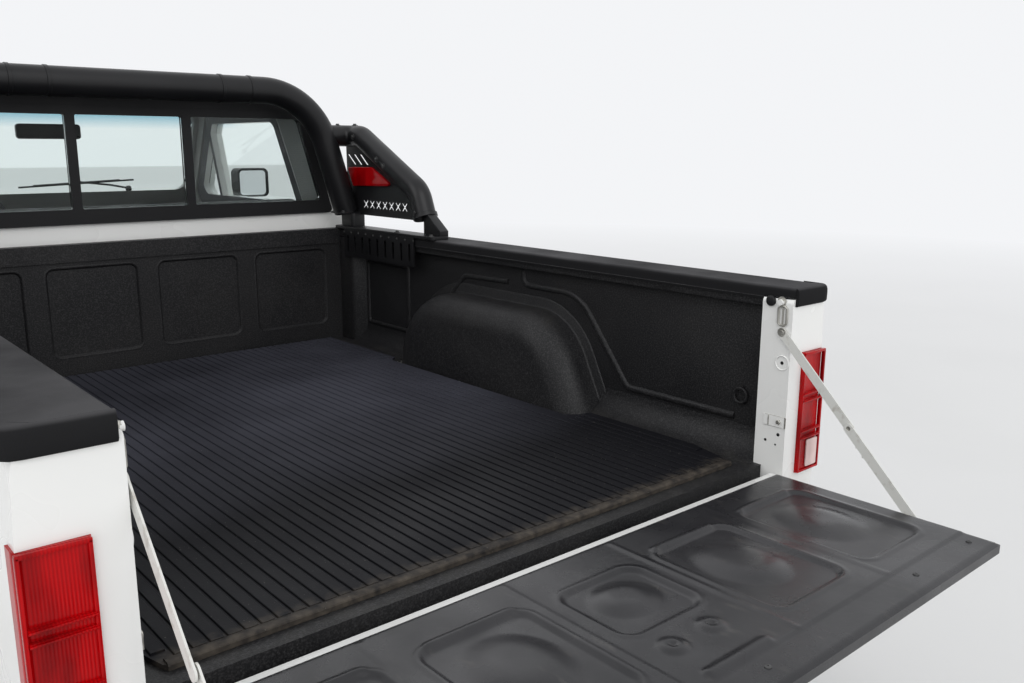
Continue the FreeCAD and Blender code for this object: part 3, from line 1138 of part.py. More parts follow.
def make_bar_side():
    """The right-hand side of the bar: base plate, stands, sail tube, sail plate and comb."""
    foot = bar_foot()
    plate_top = foot + BAR_BASE_THICKNESS
    base = box(OPENING_HALF_WIDTH - 4.0, SAIL_HALF_WIDTH + 52.0, yy(BAR_BASE_REAR), yy(BAR_BASE_FRONT), foot, plate_top)
    tube = pipe([Vector(SAIL_HALF_WIDTH, yy(s), zz(h)) for s, h in sail_points()], SAIL_TUBE_BEND, SAIL_TUBE_RADIUS)
    sail = plate([
        (yy(1968.0), zz(SAIL_FOOT) - 10.0, 8.0), (yy(1980.0), zz(790.0), 8.0), (yy(1868.0), zz(790.0), 60.0),
        (yy(1470.0), zz(590.0), 60.0), (yy(1440.0), zz(SAIL_FOOT) - 10.0, 8.0),
    ], "yz", SAIL_HALF_WIDTH - BAR_PLATE / 2.0, SAIL_HALF_WIDTH + BAR_PLATE / 2.0)
    lamp_window = plate(bar_lamp_outline(0.0), "yz", SAIL_HALF_WIDTH - 20.0, SAIL_HALF_WIDTH + 20.0)
    cuts = [lamp_window]
    for i in range(3):
        start = 1945.0 - 34.0 * i
        cuts.append(plate([
            (yy(start), zz(694.0)), (yy(start - 14.0), zz(694.0)), (yy(start - 36.0), zz(738.0)),
            (yy(start - 22.0), zz(738.0)),
        ], "yz", SAIL_HALF_WIDTH - 20.0, SAIL_HALF_WIDTH + 20.0))
    for i in range(CROSS_CUTS):
        middle = 1588.0 + i * 50.0
        for lean in (1.0, -1.0):
            cuts.append(plate([
                (yy(middle - 20.0 * lean - 4.0), zz(536.0)), (yy(middle - 20.0 * lean + 4.0), zz(536.0)),
                (yy(middle + 20.0 * lean + 4.0), zz(574.0)), (yy(middle + 20.0 * lean - 4.0), zz(574.0)),
            ], "yz", SAIL_HALF_WIDTH - 20.0, SAIL_HALF_WIDTH + 20.0))
    front_stand = box(HOOP_FOOT_HALF_WIDTH - HOOP_RADIUS - 6.0, SAIL_HALF_WIDTH + 45.0,
                      yy(HOOP_STATION) - BAR_STAND_LENGTH / 2.0 - 10.0, yy(BAR_BASE_FRONT), plate_top,
                      plate_top + BAR_STAND_HEIGHT)
    web = box(SAIL_HALF_WIDTH - 12.0, SAIL_HALF_WIDTH + 12.0, yy(1400.0), yy(1960.0), plate_top, zz(SAIL_FOOT))
    rear_stand = box(SAIL_HALF_WIDTH - 36.0, SAIL_HALF_WIDTH + 36.0, yy(1342.0), yy(1342.0) + BAR_STAND_LENGTH + 40.0,
                     plate_top, zz(SAIL_FOOT))
    comb = box(OPENING_HALF_WIDTH - 4.0, OPENING_HALF_WIDTH, yy(1443.0), yy(1916.0), foot - COMB_DROP, foot + 1.0)
    slots = []
    for i in range(COMB_SLOTS):
        middle = yy(1443.0) + (i + 0.5) * (1916.0 - 1443.0) / COMB_SLOTS
        slots.append(plate(rect(middle - 7.0, middle + 7.0, foot - COMB_DROP + 16.0, foot - 22.0, 6.5), "yz",
                           OPENING_HALF_WIDTH - 10.0, OPENING_HALF_WIDTH + 10.0))
    side = base.fuse([tube, sail.cut(cuts), front_stand, web, rear_stand, comb.cut(slots)])
    hoop_room = pipe([Vector(HOOP_FOOT_HALF_WIDTH, yy(HOOP_STATION), plate_top + BAR_STAND_HEIGHT),
                      Vector(HOOP_SHOULDER_HALF_WIDTH, yy(HOOP_STATION), zz(HOOP_TOP) - HOOP_RADIUS),
                      Vector(0.0, yy(HOOP_STATION), zz(HOOP_TOP) - HOOP_RADIUS)], HOOP_BEND, HOOP_RADIUS + FIT)
    return side.cut(hoop_room).removeSplitter()


def bar_lamp_outline(shrink):
    """The slanted lamp in the sail."""
    return inset([
        (yy(1655.0), zz(616.0), 6.0), (yy(1898.0), zz(607.0), 6.0), (yy(1938.0), zz(674.0), 6.0),
        (yy(1772.0), zz(677.0), 10.0),
    ], shrink)


def make_bar_lamp():
    return plate(bar_lamp_outline(FIT), "yz", SAIL_HALF_WIDTH - 14.0, SAIL_HALF_WIDTH + 14.0)


# Rear bumper

def make_rear_bumper():
    """A step bumper with a low middle for the plate and the tow ball, and brackets to the frame."""
    rear, front = yy(-STEP_REAR), yy(-STEP_FRONT)
    top = zz(STEP_TOP)
    low = top - STEP_PLATE_DROP
    beam = plate(both_halves([
        (STEP_PLATE_HALF_WIDTH + 30.0, top - STEP_HEIGHT, 6.0),
        (STEP_HALF_WIDTH, top - STEP_HEIGHT + 20.0, 14.0),
        (STEP_HALF_WIDTH, top, 14.0),
        (STEP_PLATE_HALF_WIDTH + 24.0, top, 8.0),
        (STEP_PLATE_HALF_WIDTH, low, 8.0),
    ]), "xz", rear, front)
    hollow = plate(inset(both_halves([
        (STEP_PLATE_HALF_WIDTH + 30.0, top - STEP_HEIGHT, 6.0),
        (STEP_HALF_WIDTH, top - STEP_HEIGHT + 20.0, 14.0),
        (STEP_HALF_WIDTH, top, 14.0),
        (STEP_PLATE_HALF_WIDTH + 24.0, top, 8.0),
        (STEP_PLATE_HALF_WIDTH, low, 8.0),
    ]), BUMPER_SHEET), "xz", rear + BUMPER_SHEET, front + 1.0)
    beam = beam.cut(hollow)
    hole = Part.makeCylinder(TOW_HOLE_RADIUS, 3.0 * BUMPER_SHEET, Vector(0.0, (rear + front) / 2.0, low - 2.0 * BUMPER_SHEET))
    access = Part.makeCylinder(45.0, 4.0 * BUMPER_SHEET, Vector(0.0, (rear + front) / 2.0, top - STEP_HEIGHT - BUMPER_SHEET))
    beam = beam.cut([hole, access])
    arms = pair(box(RAIL_CENTRE - 18.0, RAIL_CENTRE + 18.0, rear + BUMPER_SHEET / 2.0, yy(frame_rear_station()),
                    top - STEP_HEIGHT + 40.0, top - BUMPER_SHEET / 2.0))
    return beam.fuse(arms).removeSplitter()


def frame_rear_station():
    """Station of the rear ends of the frame rails."""
    return -SILL_OVERHANG - 4.0


# Frame, axles and wheels

def make_frame():
    rear, front = yy(frame_rear_station()), yy(frame_front_station())
    mid = yy(CAB_BACK_STATION)
    rail_points = [
        (rear, FRAME_TOP_GROUND - RAIL_DEPTH, 0.0),
        (mid - 60.0, FRAME_TOP_GROUND - RAIL_DEPTH, 200.0),
        (mid + 140.0, FRAME_FRONT_TOP_GROUND - RAIL_DEPTH, 200.0),
        (front, FRAME_FRONT_TOP_GROUND - RAIL_DEPTH, 0.0),
        (front, FRAME_FRONT_TOP_GROUND, 0.0),
        (mid + 140.0, FRAME_FRONT_TOP_GROUND, 200.0),
        (mid - 60.0, FRAME_TOP_GROUND, 200.0),
        (rear, FRAME_TOP_GROUND, 0.0),
    ]
    rail = plate(rail_points, "yz", RAIL_CENTRE - RAIL_WIDTH / 2.0, RAIL_CENTRE + RAIL_WIDTH / 2.0)
    reach = RAIL_CENTRE - RAIL_WIDTH / 4.0
    members = []
    for station, top in ((80.0, FRAME_TOP_GROUND), (560.0, FRAME_TOP_GROUND), (1500.0, FRAME_TOP_GROUND),
                         (FRONT_AXLE_STATION, FRAME_FRONT_TOP_GROUND - 40.0),
                         (frame_front_station() - 60.0, FRAME_FRONT_TOP_GROUND)):
        members.append(box(-reach, reach, yy(station) - CROSS_MEMBER_WIDTH / 2.0,
                           yy(station) + CROSS_MEMBER_WIDTH / 2.0, top - CROSS_MEMBER_DEPTH, top - 5.0))
    member_top = FRAME_FRONT_TOP_GROUND - 40.0
    members.append(plate(both_halves([
        (100.0, member_top - CROSS_MEMBER_DEPTH - 62.0, 12.0), (150.0, member_top - CROSS_MEMBER_DEPTH, 12.0),
        (reach, member_top - CROSS_MEMBER_DEPTH, 0.0), (reach, member_top - 5.0, 0.0),
        (126.0, member_top - 5.0, 12.0), (114.0, member_top - CROSS_MEMBER_DEPTH - 20.0, 12.0),
    ]), "xz", yy(2700.0) - CROSS_MEMBER_WIDTH / 2.0, yy(2700.0) + CROSS_MEMBER_WIDTH / 2.0))
    mounts = []
    for station in (CAB_BACK_STATION + 120.0, CAB_BACK_STATION + CAB_LENGTH - 160.0):
        mounts.append(pair(Part.makeCylinder(38.0, CAB_FLOOR_GROUND - CAB_FLOOR_THICKNESS - FRAME_FRONT_TOP_GROUND + 8.0,
                                             Vector(RAIL_CENTRE, yy(station), FRAME_FRONT_TOP_GROUND - 8.0))))
    return rail.fuse([mirrored(rail)] + members + mounts).removeSplitter()


def make_rear_axle():
    y = yy(REAR_AXLE_STATION)
    inner = HALF_TRACK - TYRE_WIDTH / 2.0 - 14.0
    tube = cylinder_x(AXLE_TUBE_RADIUS, -inner, inner, y, TYRE_RADIUS)
    bowl = turned([
        (-150.0, 0.0), (-150.0, AXLE_TUBE_RADIUS, 20.0), (-85.0, DIFFERENTIAL_RADIUS * 0.82, 40.0),
        (0.0, DIFFERENTIAL_RADIUS, 60.0), (85.0, DIFFERENTIAL_RADIUS * 0.82, 40.0),
        (150.0, AXLE_TUBE_RADIUS, 20.0), (150.0, 0.0),
    ], 0.0, y, TYRE_RADIUS)
    nose = Part.makeCone(75.0, 42.0, 190.0, Vector(0.0, y + 60.0, TYRE_RADIUS), Vector(0, 1, 0.12))
    end = HALF_TRACK + hub_face() + 10.0
    spindle = pair(cylinder_x(SPINDLE_RADIUS, inner - 5.0, end, y, TYRE_RADIUS))
    plates = pair(cylinder_x(DRUM_RADIUS + 4.0, inner - 8.0, inner, y, TYRE_RADIUS))
    pads = pair(box(RAIL_CENTRE - SPRING_WIDTH / 2.0, RAIL_CENTRE + SPRING_WIDTH / 2.0, y - 60.0, y + 60.0,
                    TYRE_RADIUS + 10.0, spring_underside()))
    return tube.fuse([bowl, nose, spindle, plates, pads]).removeSplitter()


def hub_face():
    """How far the wheel's mounting face lies outboard of the wheel's middle."""
    return 22.0


def spring_underside():
    """Ground height of the leaf pack's underside at the axle."""
    return TYRE_RADIUS + AXLE_TUBE_RADIUS + 8.0


def make_rear_springs():
    """Right-hand leaf pack with its eyes and hangers, and the shock absorber beside it."""
    y = yy(REAR_AXLE_STATION)
    low = spring_underside()
    x0, x1 = RAIL_CENTRE - SPRING_WIDTH / 2.0, RAIL_CENTRE + SPRING_WIDTH / 2.0
    leaves = []
    for i in range(LEAVES):
        reach = SPRING_REACH * (1.0 - 0.2 * i)
        base = low + (LEAVES - 1 - i) * LEAF
        rise = SPRING_RISE * (reach / SPRING_REACH) ** 2
        arc = Part.Arc(Vector(x0, y - reach, base + rise), Vector(x0, y, base), Vector(x0, y + reach, base + rise)).toShape()
        upper = Part.Arc(Vector(x0, y + reach, base + rise + LEAF), Vector(x0, y, base + LEAF),
                         Vector(x0, y - reach, base + rise + LEAF)).toShape()
        ends = [Part.makeLine(arc.Vertexes[-1].Point, upper.Vertexes[0].Point),
                Part.makeLine(upper.Vertexes[-1].Point, arc.Vertexes[0].Point)]
        leaves.append(Part.Face(Part.Wire([arc, ends[0], upper, ends[1]])).extrude(Vector(SPRING_WIDTH, 0, 0)))
    top = low + SPRING_RISE + LEAVES * LEAF
    rail_foot = FRAME_TOP_GROUND - RAIL_DEPTH
    hangers = []
    for side in (-1.0, 1.0):
        eye_y = y + side * SPRING_REACH
        hangers.append(cylinder_x(15.0, x0, x1, eye_y, top - LEAF / 2.0))
        hangers.append(box(x0 - 6.0, x0, eye_y - 20.0, eye_y + 20.0, top - 24.0, rail_foot))
        hangers.append(box(x1, x1 + 6.0, eye_y - 20.0, eye_y + 20.0, top - 24.0, rail_foot))
    clamp = box(x0 - 4.0, x1 + 4.0, y - 55.0, y + 55.0, low + LEAVES * LEAF - 2.0, low + LEAVES * LEAF + 10.0)
    return leaves[0].fuse(leaves[1:] + hangers + [clamp]).removeSplitter()


def make_wheel():
    """The right-hand wheel about its own middle: rim, disc with windows, hub and brake drum."""
    half = RIM_WIDTH / 2.0
    bead_seat = RIM_RADIUS - FIT
    barrel = turned([
        (-half, bead_seat - RIM_WALL), (-half, RIM_RADIUS + 12.0, 3.0), (-half + 7.0, RIM_RADIUS + 12.0, 3.0),
        (-half + 7.0, bead_seat), (-half + 40.0, bead_seat - 1.0), (-half + 50.0, bead_seat - 16.0),
        (half - 62.0, bead_seat - 16.0), (half - 50.0, bead_seat - 1.0), (half - 7.0, bead_seat),
        (half - 7.0, RIM_RADIUS + 12.0, 3.0), (half, RIM_RADIUS + 12.0, 3.0), (half, bead_seat - RIM_WALL),
        (half - 48.0, bead_seat - RIM_WALL - 1.0), (half - 60.0, bead_seat - 16.0 - RIM_WALL),
        (-half + 52.0, bead_seat - 16.0 - RIM_WALL), (-half + 42.0, bead_seat - RIM_WALL - 1.0),
    ])
    face = hub_face()
    disc = turned([
        (face - 8.0, SPINDLE_RADIUS + SPINDLE_GAP), (face - 8.0, 92.0, 10.0), (face + 6.0, 112.0, 14.0),
        (face - 14.0, bead_seat - 16.0 - RIM_WALL / 2.0), (face - 4.0, bead_seat - 16.0 - RIM_WALL / 2.0),
        (face + 18.0, 116.0, 18.0), (face + 4.0, 84.0, 10.0), (face + 4.0, HUB_RADIUS), (face + 40.0, HUB_RADIUS - 8.0, 8.0),
        (face + 40.0, 0.0), (face + 14.0, 0.0), (face + 14.0, SPINDLE_RADIUS + SPINDLE_GAP),
    ])
    windows = []
    for i in range(WHEEL_WINDOWS):
        slot = plate([(-21.0, 121.0, 12.0), (21.0, 121.0, 12.0), (25.0, 156.0, 12.0), (-25.0, 156.0, 12.0)],
                     "yz", face - 40.0, face + 40.0)
        slot.rotate(Vector(0, 0, 0), Vector(1, 0, 0), 360.0 * i / WHEEL_WINDOWS)
        windows.append(slot)
    drum_back = -TYRE_WIDTH / 2.0 + 2.0
    drum = turned([
        (drum_back, DRUM_RADIUS - 8.0), (drum_back, DRUM_RADIUS), (face - 8.0, DRUM_RADIUS - 12.0, 10.0),
        (face - 8.0, SPINDLE_RADIUS + SPINDLE_GAP), (face - 16.0, SPINDLE_RADIUS + SPINDLE_GAP),
        (face - 16.0, DRUM_RADIUS - 24.0, 8.0),
    ])
    wheel = barrel.fuse(disc.cut(windows)).fuse(drum)
    bore = cylinder_x(SPINDLE_RADIUS + SPINDLE_GAP, -TYRE_WIDTH, face + 14.0, 0.0, 0.0)
    return wheel.cut(bore).removeSplitter()


def make_tyre():
    """The tyre about its own middle."""
    half = TYRE_WIDTH / 2.0
    rim_half = RIM_WIDTH / 2.0 - 7.0 - FIT
    tread = half - 18.0
    return turned([
        (-rim_half, RIM_RADIUS), (-rim_half, RIM_RADIUS + 14.0, 4.0), (-half, RIM_RADIUS + 62.0, 60.0),
        (-half + 3.0, TYRE_RADIUS - 26.0, 30.0), (-tread, TYRE_RADIUS, 16.0),
        (tread, TYRE_RADIUS, 16.0), (half - 3.0, TYRE_RADIUS - 26.0, 30.0), (half, RIM_RADIUS + 62.0, 60.0),
        (rim_half, RIM_RADIUS + 14.0, 4.0), (rim_half, RIM_RADIUS),
    ])


def placed(shape, side, station):
    """A right-hand wheel piece moved to its axle, mirrored for the left side."""
    copy = shape.copy()
    copy.translate(Vector(HALF_TRACK, yy(station), TYRE_RADIUS))
    return copy if side > 0 else mirrored(copy)


def make_knuckle():
    """The right-hand steering knuckle with its spindle."""
    y = yy(FRONT_AXLE_STATION)
    x = KINGPIN_HALF_TRACK
    body = plate([
        (y - 26.0, TYRE_RADIUS - KNUCKLE_HALF_HEIGHT, 12.0), (y + 26.0, TYRE_RADIUS - KNUCKLE_HALF_HEIGHT, 12.0),
        (y + 36.0, TYRE_RADIUS, 30.0), (y + 26.0, TYRE_RADIUS + KNUCKLE_HALF_HEIGHT, 12.0),
        (y - 26.0, TYRE_RADIUS + KNUCKLE_HALF_HEIGHT, 12.0), (y - 36.0, TYRE_RADIUS, 30.0),
    ], "yz", x - 36.0, x - 10.0)
    shield = cylinder_x(60.0, x - 36.0, x - 8.0, y, TYRE_RADIUS)
    spindle = cylinder_x(SPINDLE_RADIUS, x - 20.0, HALF_TRACK + hub_face() + 10.0, y, TYRE_RADIUS)
    arm = box(x - 34.0, x - 12.0, y - 130.0, y - 20.0, TYRE_RADIUS - 60.0, TYRE_RADIUS - 40.0)
    joints = []
    for side in (-1.0, 1.0):
        level = TYRE_RADIUS + side * KNUCKLE_HALF_HEIGHT
        joints.append(Part.makeCylinder(16.0, 8.0, Vector(x, y, level - side * 6.0), Vector(0, 0, side)))
        joints.append(box(x - 24.0, x, y - 16.0, y + 16.0, min(level + side * 2.0, level - side * 6.0),
                          max(level + side * 2.0, level - side * 6.0)))
        joints.append(Part.makeCylinder(11.0, 27.0, Vector(x, y, level - side * 2.0), Vector(0, 0, side)))
    return body.fuse([shield, spindle, arm] + joints).removeSplitter()


def make_front_suspension():
    """The right-hand wishbones, spring and damper between the frame and the knuckle."""
    y = yy(FRONT_AXLE_STATION)
    root = RAIL_CENTRE + RAIL_WIDTH / 2.0 + FIT
    tip = KINGPIN_HALF_TRACK - 4.0
    solids = []
    for z, spread in ((TYRE_RADIUS - KNUCKLE_HALF_HEIGHT - 21.0, 130.0), (TYRE_RADIUS + KNUCKLE_HALF_HEIGHT + 7.0, 90.0)):
        arm = plate([
            (tip + 22.0, y - 22.0, 20.0), (tip + 22.0, y + 22.0, 20.0), (root + 60.0, y + spread, 20.0),
            (root, y + spread, 6.0), (root, y + spread - 50.0, 6.0), (root + 110.0, y, 20.0),
            (root, y - spread + 50.0, 6.0), (root, y - spread, 6.0), (root + 60.0, y - spread, 20.0),
        ], "xy", z, z + 14.0)
        eye = Part.makeCylinder(11.5, 16.0, Vector(KINGPIN_HALF_TRACK, y, z - 1.0))
        solids.append(arm.cut(eye))
    post = box(root, root + 14.0, y - 130.0, y + 130.0, TYRE_RADIUS - KNUCKLE_HALF_HEIGHT - 26.0,
               TYRE_RADIUS + KNUCKLE_HALF_HEIGHT + 40.0)
    damper = Part.makeCylinder(26.0, 2.0 * KNUCKLE_HALF_HEIGHT + 60.0,
                               Vector(root + 62.0, y, TYRE_RADIUS - KNUCKLE_HALF_HEIGHT - 10.0))
    return post.fuse(solids + [damper]).removeSplitter()


# Underneath and inside

def make_engine():
    """Engine block, gearbox and radiator as plain closed bodies, with mounts on the frame."""
    front = yy(FRONT_AXLE_STATION + 190.0)
    rear = yy(CAB_FRONT_STATION) + 60.0
    block = box(-190.0, 190.0, rear, front, FRAME_FRONT_TOP_GROUND - 10.0, HOOD_FRONT_GROUND - 130.0)
    block = block.makeFillet(30.0, [e for e in block.Edges if e.BoundBox.YLength > 100.0])
    gearbox = plate([
        (rear + 10.0, FRAME_FRONT_TOP_GROUND + 30.0), (rear + 10.0, FRAME_FRONT_TOP_GROUND - 100.0),
        (yy(CAB_FRONT_STATION) - 620.0, FRAME_FRONT_TOP_GROUND - 100.0),
        (yy(CAB_FRONT_STATION) - 820.0, FRAME_FRONT_TOP_GROUND - 80.0),
        (yy(CAB_FRONT_STATION) - 820.0, FRAME_FRONT_TOP_GROUND + 10.0),
    ], "yz", -105.0, 105.0)
    arms = pair(box(150.0, RAIL_CENTRE - RAIL_WIDTH / 2.0, yy(FRONT_AXLE_STATION) - 60.0, yy(FRONT_AXLE_STATION) + 60.0,
                    FRAME_FRONT_TOP_GROUND - 30.0, FRAME_FRONT_TOP_GROUND + 20.0))
    return block.fuse([gearbox, arms]).removeSplitter()


def make_drive_shaft():
    start = Vector(0.0, yy(CAB_FRONT_STATION) - 823.2, FRAME_FRONT_TOP_GROUND - 45.0)
    end = Vector(0.0, yy(REAR_AXLE_STATION) + 60.0 + 190.0, TYRE_RADIUS + 22.0)
    along = end - start
    return Part.makeCylinder(SHAFT_RADIUS, along.Length - 1.0, start, along)


def make_exhaust():
    x = 240.0
    low = FRAME_FRONT_TOP_GROUND - 150.0
    pipe_line = [Vector(x, yy(FRONT_AXLE_STATION - 200.0), low + 120.0), Vector(x, yy(CAB_FRONT_STATION - 200.0), low),
                 Vector(x, yy(REAR_AXLE_STATION + 500.0), low), Vector(x, yy(REAR_AXLE_STATION + 170.0), low + 60.0),
                 Vector(x, yy(REAR_AXLE_STATION - 260.0), low + 60.0), Vector(x + 60.0, yy(-20.0), low + 20.0)]
    line = pipe(pipe_line, 110.0, EXHAUST_RADIUS)
    muffler = Part.makeCylinder(75.0, 520.0, Vector(x, yy(REAR_AXLE_STATION + 620.0), low), Vector(0, 1, 0))
    member_foot = FRAME_TOP_GROUND - CROSS_MEMBER_DEPTH
    hangers = [box(x - 12.0, x + 12.0, yy(station) - 3.0, yy(station) + 3.0, low, member_foot - FIT)
               for station in (1500.0, 560.0)]
    return line.fuse([muffler] + hangers).removeSplitter()


def make_fuel_tank():
    top = FRAME_FRONT_TOP_GROUND - 10.0
    tank = plate(rect(RAIL_CENTRE + RAIL_WIDTH / 2.0 + FIT, ROCKER_HALF_WIDTH - 140.0 - RUNNING_GAP, top - 190.0, top, 30.0), "xz",
                 yy(CAB_BACK_STATION + 200.0), yy(CAB_BACK_STATION + 200.0 + TANK_LENGTH))
    return mirrored(tank)


def make_seat():
    back = yy(CAB_BACK_STATION) + CAB_BACK_WALL + FIT
    cushion = plate([
        (back + BACKREST_THICKNESS * 0.6, SEAT_TOP_GROUND - SEAT_CUSHION + FIT, 20.0),
        (back + SEAT_DEPTH + 30.0, SEAT_TOP_GROUND - SEAT_CUSHION + FIT, 30.0),
        (back + SEAT_DEPTH + 40.0, SEAT_TOP_GROUND + 10.0, 50.0),
        (back + BACKREST_THICKNESS, SEAT_TOP_GROUND - 20.0, 20.0),
    ], "yz", -SEAT_HALF_WIDTH, SEAT_HALF_WIDTH)
    rest = plate([
        (back + BACKREST_THICKNESS * 0.55, SEAT_TOP_GROUND - SEAT_CUSHION + 40.0, 30.0),
        (back + BACKREST_THICKNESS * 1.2, SEAT_TOP_GROUND, 30.0),
        (back + BACKREST_THICKNESS, BACKREST_TOP_GROUND, 50.0),
        (back + 10.0, BACKREST_TOP_GROUND, 50.0),
        (back + 10.0, SEAT_TOP_GROUND - SEAT_CUSHION + 60.0, 30.0),
    ], "yz", -SEAT_HALF_WIDTH, SEAT_HALF_WIDTH)
    return cushion.fuse(rest).removeSplitter()


def steering_column():
    """Lower end, upper end and direction of the steering column."""
    top = Vector(STEERING_SIDE, yy(CAB_FRONT_STATION) - 460.0, 1075.0)
    direction = Vector(0.0, -0.9, 0.44).normalize()
    return top - direction * 260.0, top, direction


def make_dashboard():
    front = yy(CAB_FRONT_STATION) - CAB_BACK_WALL - FIT
    dash = plate([
        (front, 760.0, 10.0), (front, BELT_GROUND - 62.0, 20.0), (front - 190.0, BELT_GROUND - 46.0, 40.0),
        (front - 262.0, BELT_GROUND - 110.0, 40.0), (front - 240.0, 800.0, 40.0),
    ], "yz", -BELT_HALF_WIDTH + CAB_WALL + 16.0, BELT_HALF_WIDTH - CAB_WALL - 16.0)
    low, _, direction = steering_column()
    column = Part.makeCylinder(30.0, 250.0, low, direction)
    return dash.fuse(column).removeSplitter()


def make_steering_wheel():
    _, top, direction = steering_column()
    ring = Part.makeTorus(STEERING_WHEEL_RADIUS - 14.0, 13.0, top, direction)
    hub = Part.makeCylinder(42.0, 24.0, top - direction * 10.0 + direction * FIT, direction)
    across = Vector(1.0, 0.0, 0.0)
    spokes = []
    for turn in (0.0, 180.0, 270.0):
        spoke = Part.makeBox(STEERING_WHEEL_RADIUS - 20.0, 26.0, 10.0, Vector(0.0, -13.0, -5.0))
        spoke.rotate(Vector(0, 0, 0), Vector(0, 0, 1), turn)
        spoke.rotate(Vector(0, 0, 0), across, math.degrees(math.atan2(-direction.y, direction.z)))
        spoke.translate(top)
        spokes.append(spoke)
    return ring.fuse([hub] + spokes).removeSplitter()


def make_inner_mirror():
    z = 1455.0
    y = yy(pillar_station(z, 0.0)) - 62.0
    head = plate(rect(-125.0, 125.0, z - 32.0, z + 30.0, 14.0), "xz", y - 12.0, y + 12.0)
    stalk = plate([
        (y, z + 10.0), (y, z - 8.0),
        (yy(pillar_station(z + 22.0, 0.0)) - 12.0, z + 12.0), (yy(pillar_station(z + 34.0, 0.0)) - 12.0, z + 30.0),
    ], "yz", -9.0, 9.0)
    clear = plate(inset(cab_side(), GLASS_INSET + GLASS + FIT), "yz", -BODY_HALF_WIDTH, BODY_HALF_WIDTH)
    return head.fuse(stalk).common(clear).removeSplitter()


def main():
    os.makedirs("parts", exist_ok=True)
    save("frame", make_frame())
    save("rear_axle", make_rear_axle())
    save("rear_springs", pair(make_rear_springs()))
    save("front_suspension", pair(make_front_suspension()))
    save("engine", make_engine())
    save("drive_shaft", make_drive_shaft())
    save("exhaust", make_exhaust())
    save("fuel_tank", make_fuel_tank())
    save("cab_shell", make_cab())
    save("cab_glass", make_glass())
    save("rear_window_frame", make_rear_window_frame())
    save("front_fenders", pair(make_fender()))
    save("hood", make_hood())
    save("grille", make_grille())
    save("headlamps", pair(make_headlamp()))
    save("front_bumper", make_front_bumper())
    save("rear_bumper", make_rear_bumper())
    save("bed_floor", make_bed_floor())
    save("bed_front_wall", make_front_wall())
    save("bed_inner_sides", pair(make_inner_side()))
    save("bed_outer_sides", pair(make_outer_side()))
    save("rail_caps", pair(make_rail_cap()))
    save("bed_mat", make_mat())
    save("rear_lamps", pair(make_rear_lamp()))
    save("bar_hoop", make_hoop())
    save("bar_sides", pair(make_bar_side()))
    save("bar_lamps", pair(make_bar_lamp()))
    save("tailgate", make_tailgate())
    save("tailgate_liner", make_gate_liner())
    save("bench_seat", make_seat())
    save("dashboard", make_dashboard())
    save("steering_wheel", make_steering_wheel())
    save("inner_mirror", make_inner_mirror())
    upper, lower = make_strap_links()
    door, door_glass, mirror, knuckle = make_door(), make_door_glass(), make_mirror(), make_knuckle()
    for side, turn in (("right", lambda shape: shape), ("left", mirrored)):
        save("strap_upper_" + side, turn(upper))
        save("strap_lower_" + side, turn(lower))
        save("door_" + side, turn(door))
        save("door_glass_" + side, turn(door_glass))
        save("door_mirror_" + side, turn(mirror))
        save("knuckle_" + side, turn(knuckle))
    wheel, tyre = make_wheel(), make_tyre()
    for end, station in (("front", FRONT_AXLE_STATION), ("rear", REAR_AXLE_STATION)):
        for side, sign in (("left", -1), ("right", 1)):
            save("wheel_" + end + "_" + side, placed(wheel, sign, station))
            save("tyre_" + end + "_" + side, placed(tyre, sign, station))


main()
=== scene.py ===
import math
import bmesh
import bpy
from mathutils import Matrix, Vector


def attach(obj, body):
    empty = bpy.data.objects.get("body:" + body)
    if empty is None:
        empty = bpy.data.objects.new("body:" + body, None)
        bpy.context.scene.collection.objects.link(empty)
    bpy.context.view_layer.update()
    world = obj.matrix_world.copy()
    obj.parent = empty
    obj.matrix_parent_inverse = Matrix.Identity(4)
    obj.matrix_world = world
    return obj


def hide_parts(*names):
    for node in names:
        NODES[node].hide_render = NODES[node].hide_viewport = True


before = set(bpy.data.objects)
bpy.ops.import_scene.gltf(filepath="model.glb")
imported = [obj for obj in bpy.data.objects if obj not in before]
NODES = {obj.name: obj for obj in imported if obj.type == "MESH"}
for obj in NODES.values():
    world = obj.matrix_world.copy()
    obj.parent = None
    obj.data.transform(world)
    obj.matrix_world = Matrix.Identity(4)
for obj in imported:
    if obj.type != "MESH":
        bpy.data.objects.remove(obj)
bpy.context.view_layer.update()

# Sizes are millimetres in the bed's own frame: x to the right, station ahead of the rear pillars, height above the
# bed floor. Points are kept as metres in the row frame.
FLOOR_GROUND = 640
Y_ORIGIN = 2017.5
FULL_TURN = 2 * math.pi
QUARTER_TURN = math.pi / 2
RIGHT, UP = (1, 0, 0), (0, 0, 1)
INWARD = (-1, 0, 0)


def at(x, station, height):
    """A point of the bed's frame, in metres in the row frame."""
    return Vector((x, station - Y_ORIGIN, height + FLOOR_GROUND)) / 1000


def add_object(name, data):
    made = bpy.data.objects.new(name, data)
    bpy.context.scene.collection.objects.link(made)
    return made


def add_node(tree, kind, inputs, **settings):
    """A shader node whose inputs take values, or the sockets that lead to them."""
    made = tree.nodes.new("ShaderNode" + kind)
    for key, value in settings.items():
        setattr(made, key, value)
    for key, value in inputs.items():
        if isinstance(value, bpy.types.NodeSocket):
            tree.links.new(value, made.inputs[key])
        else:
            made.inputs[key].default_value = value
    return made


# Finishes

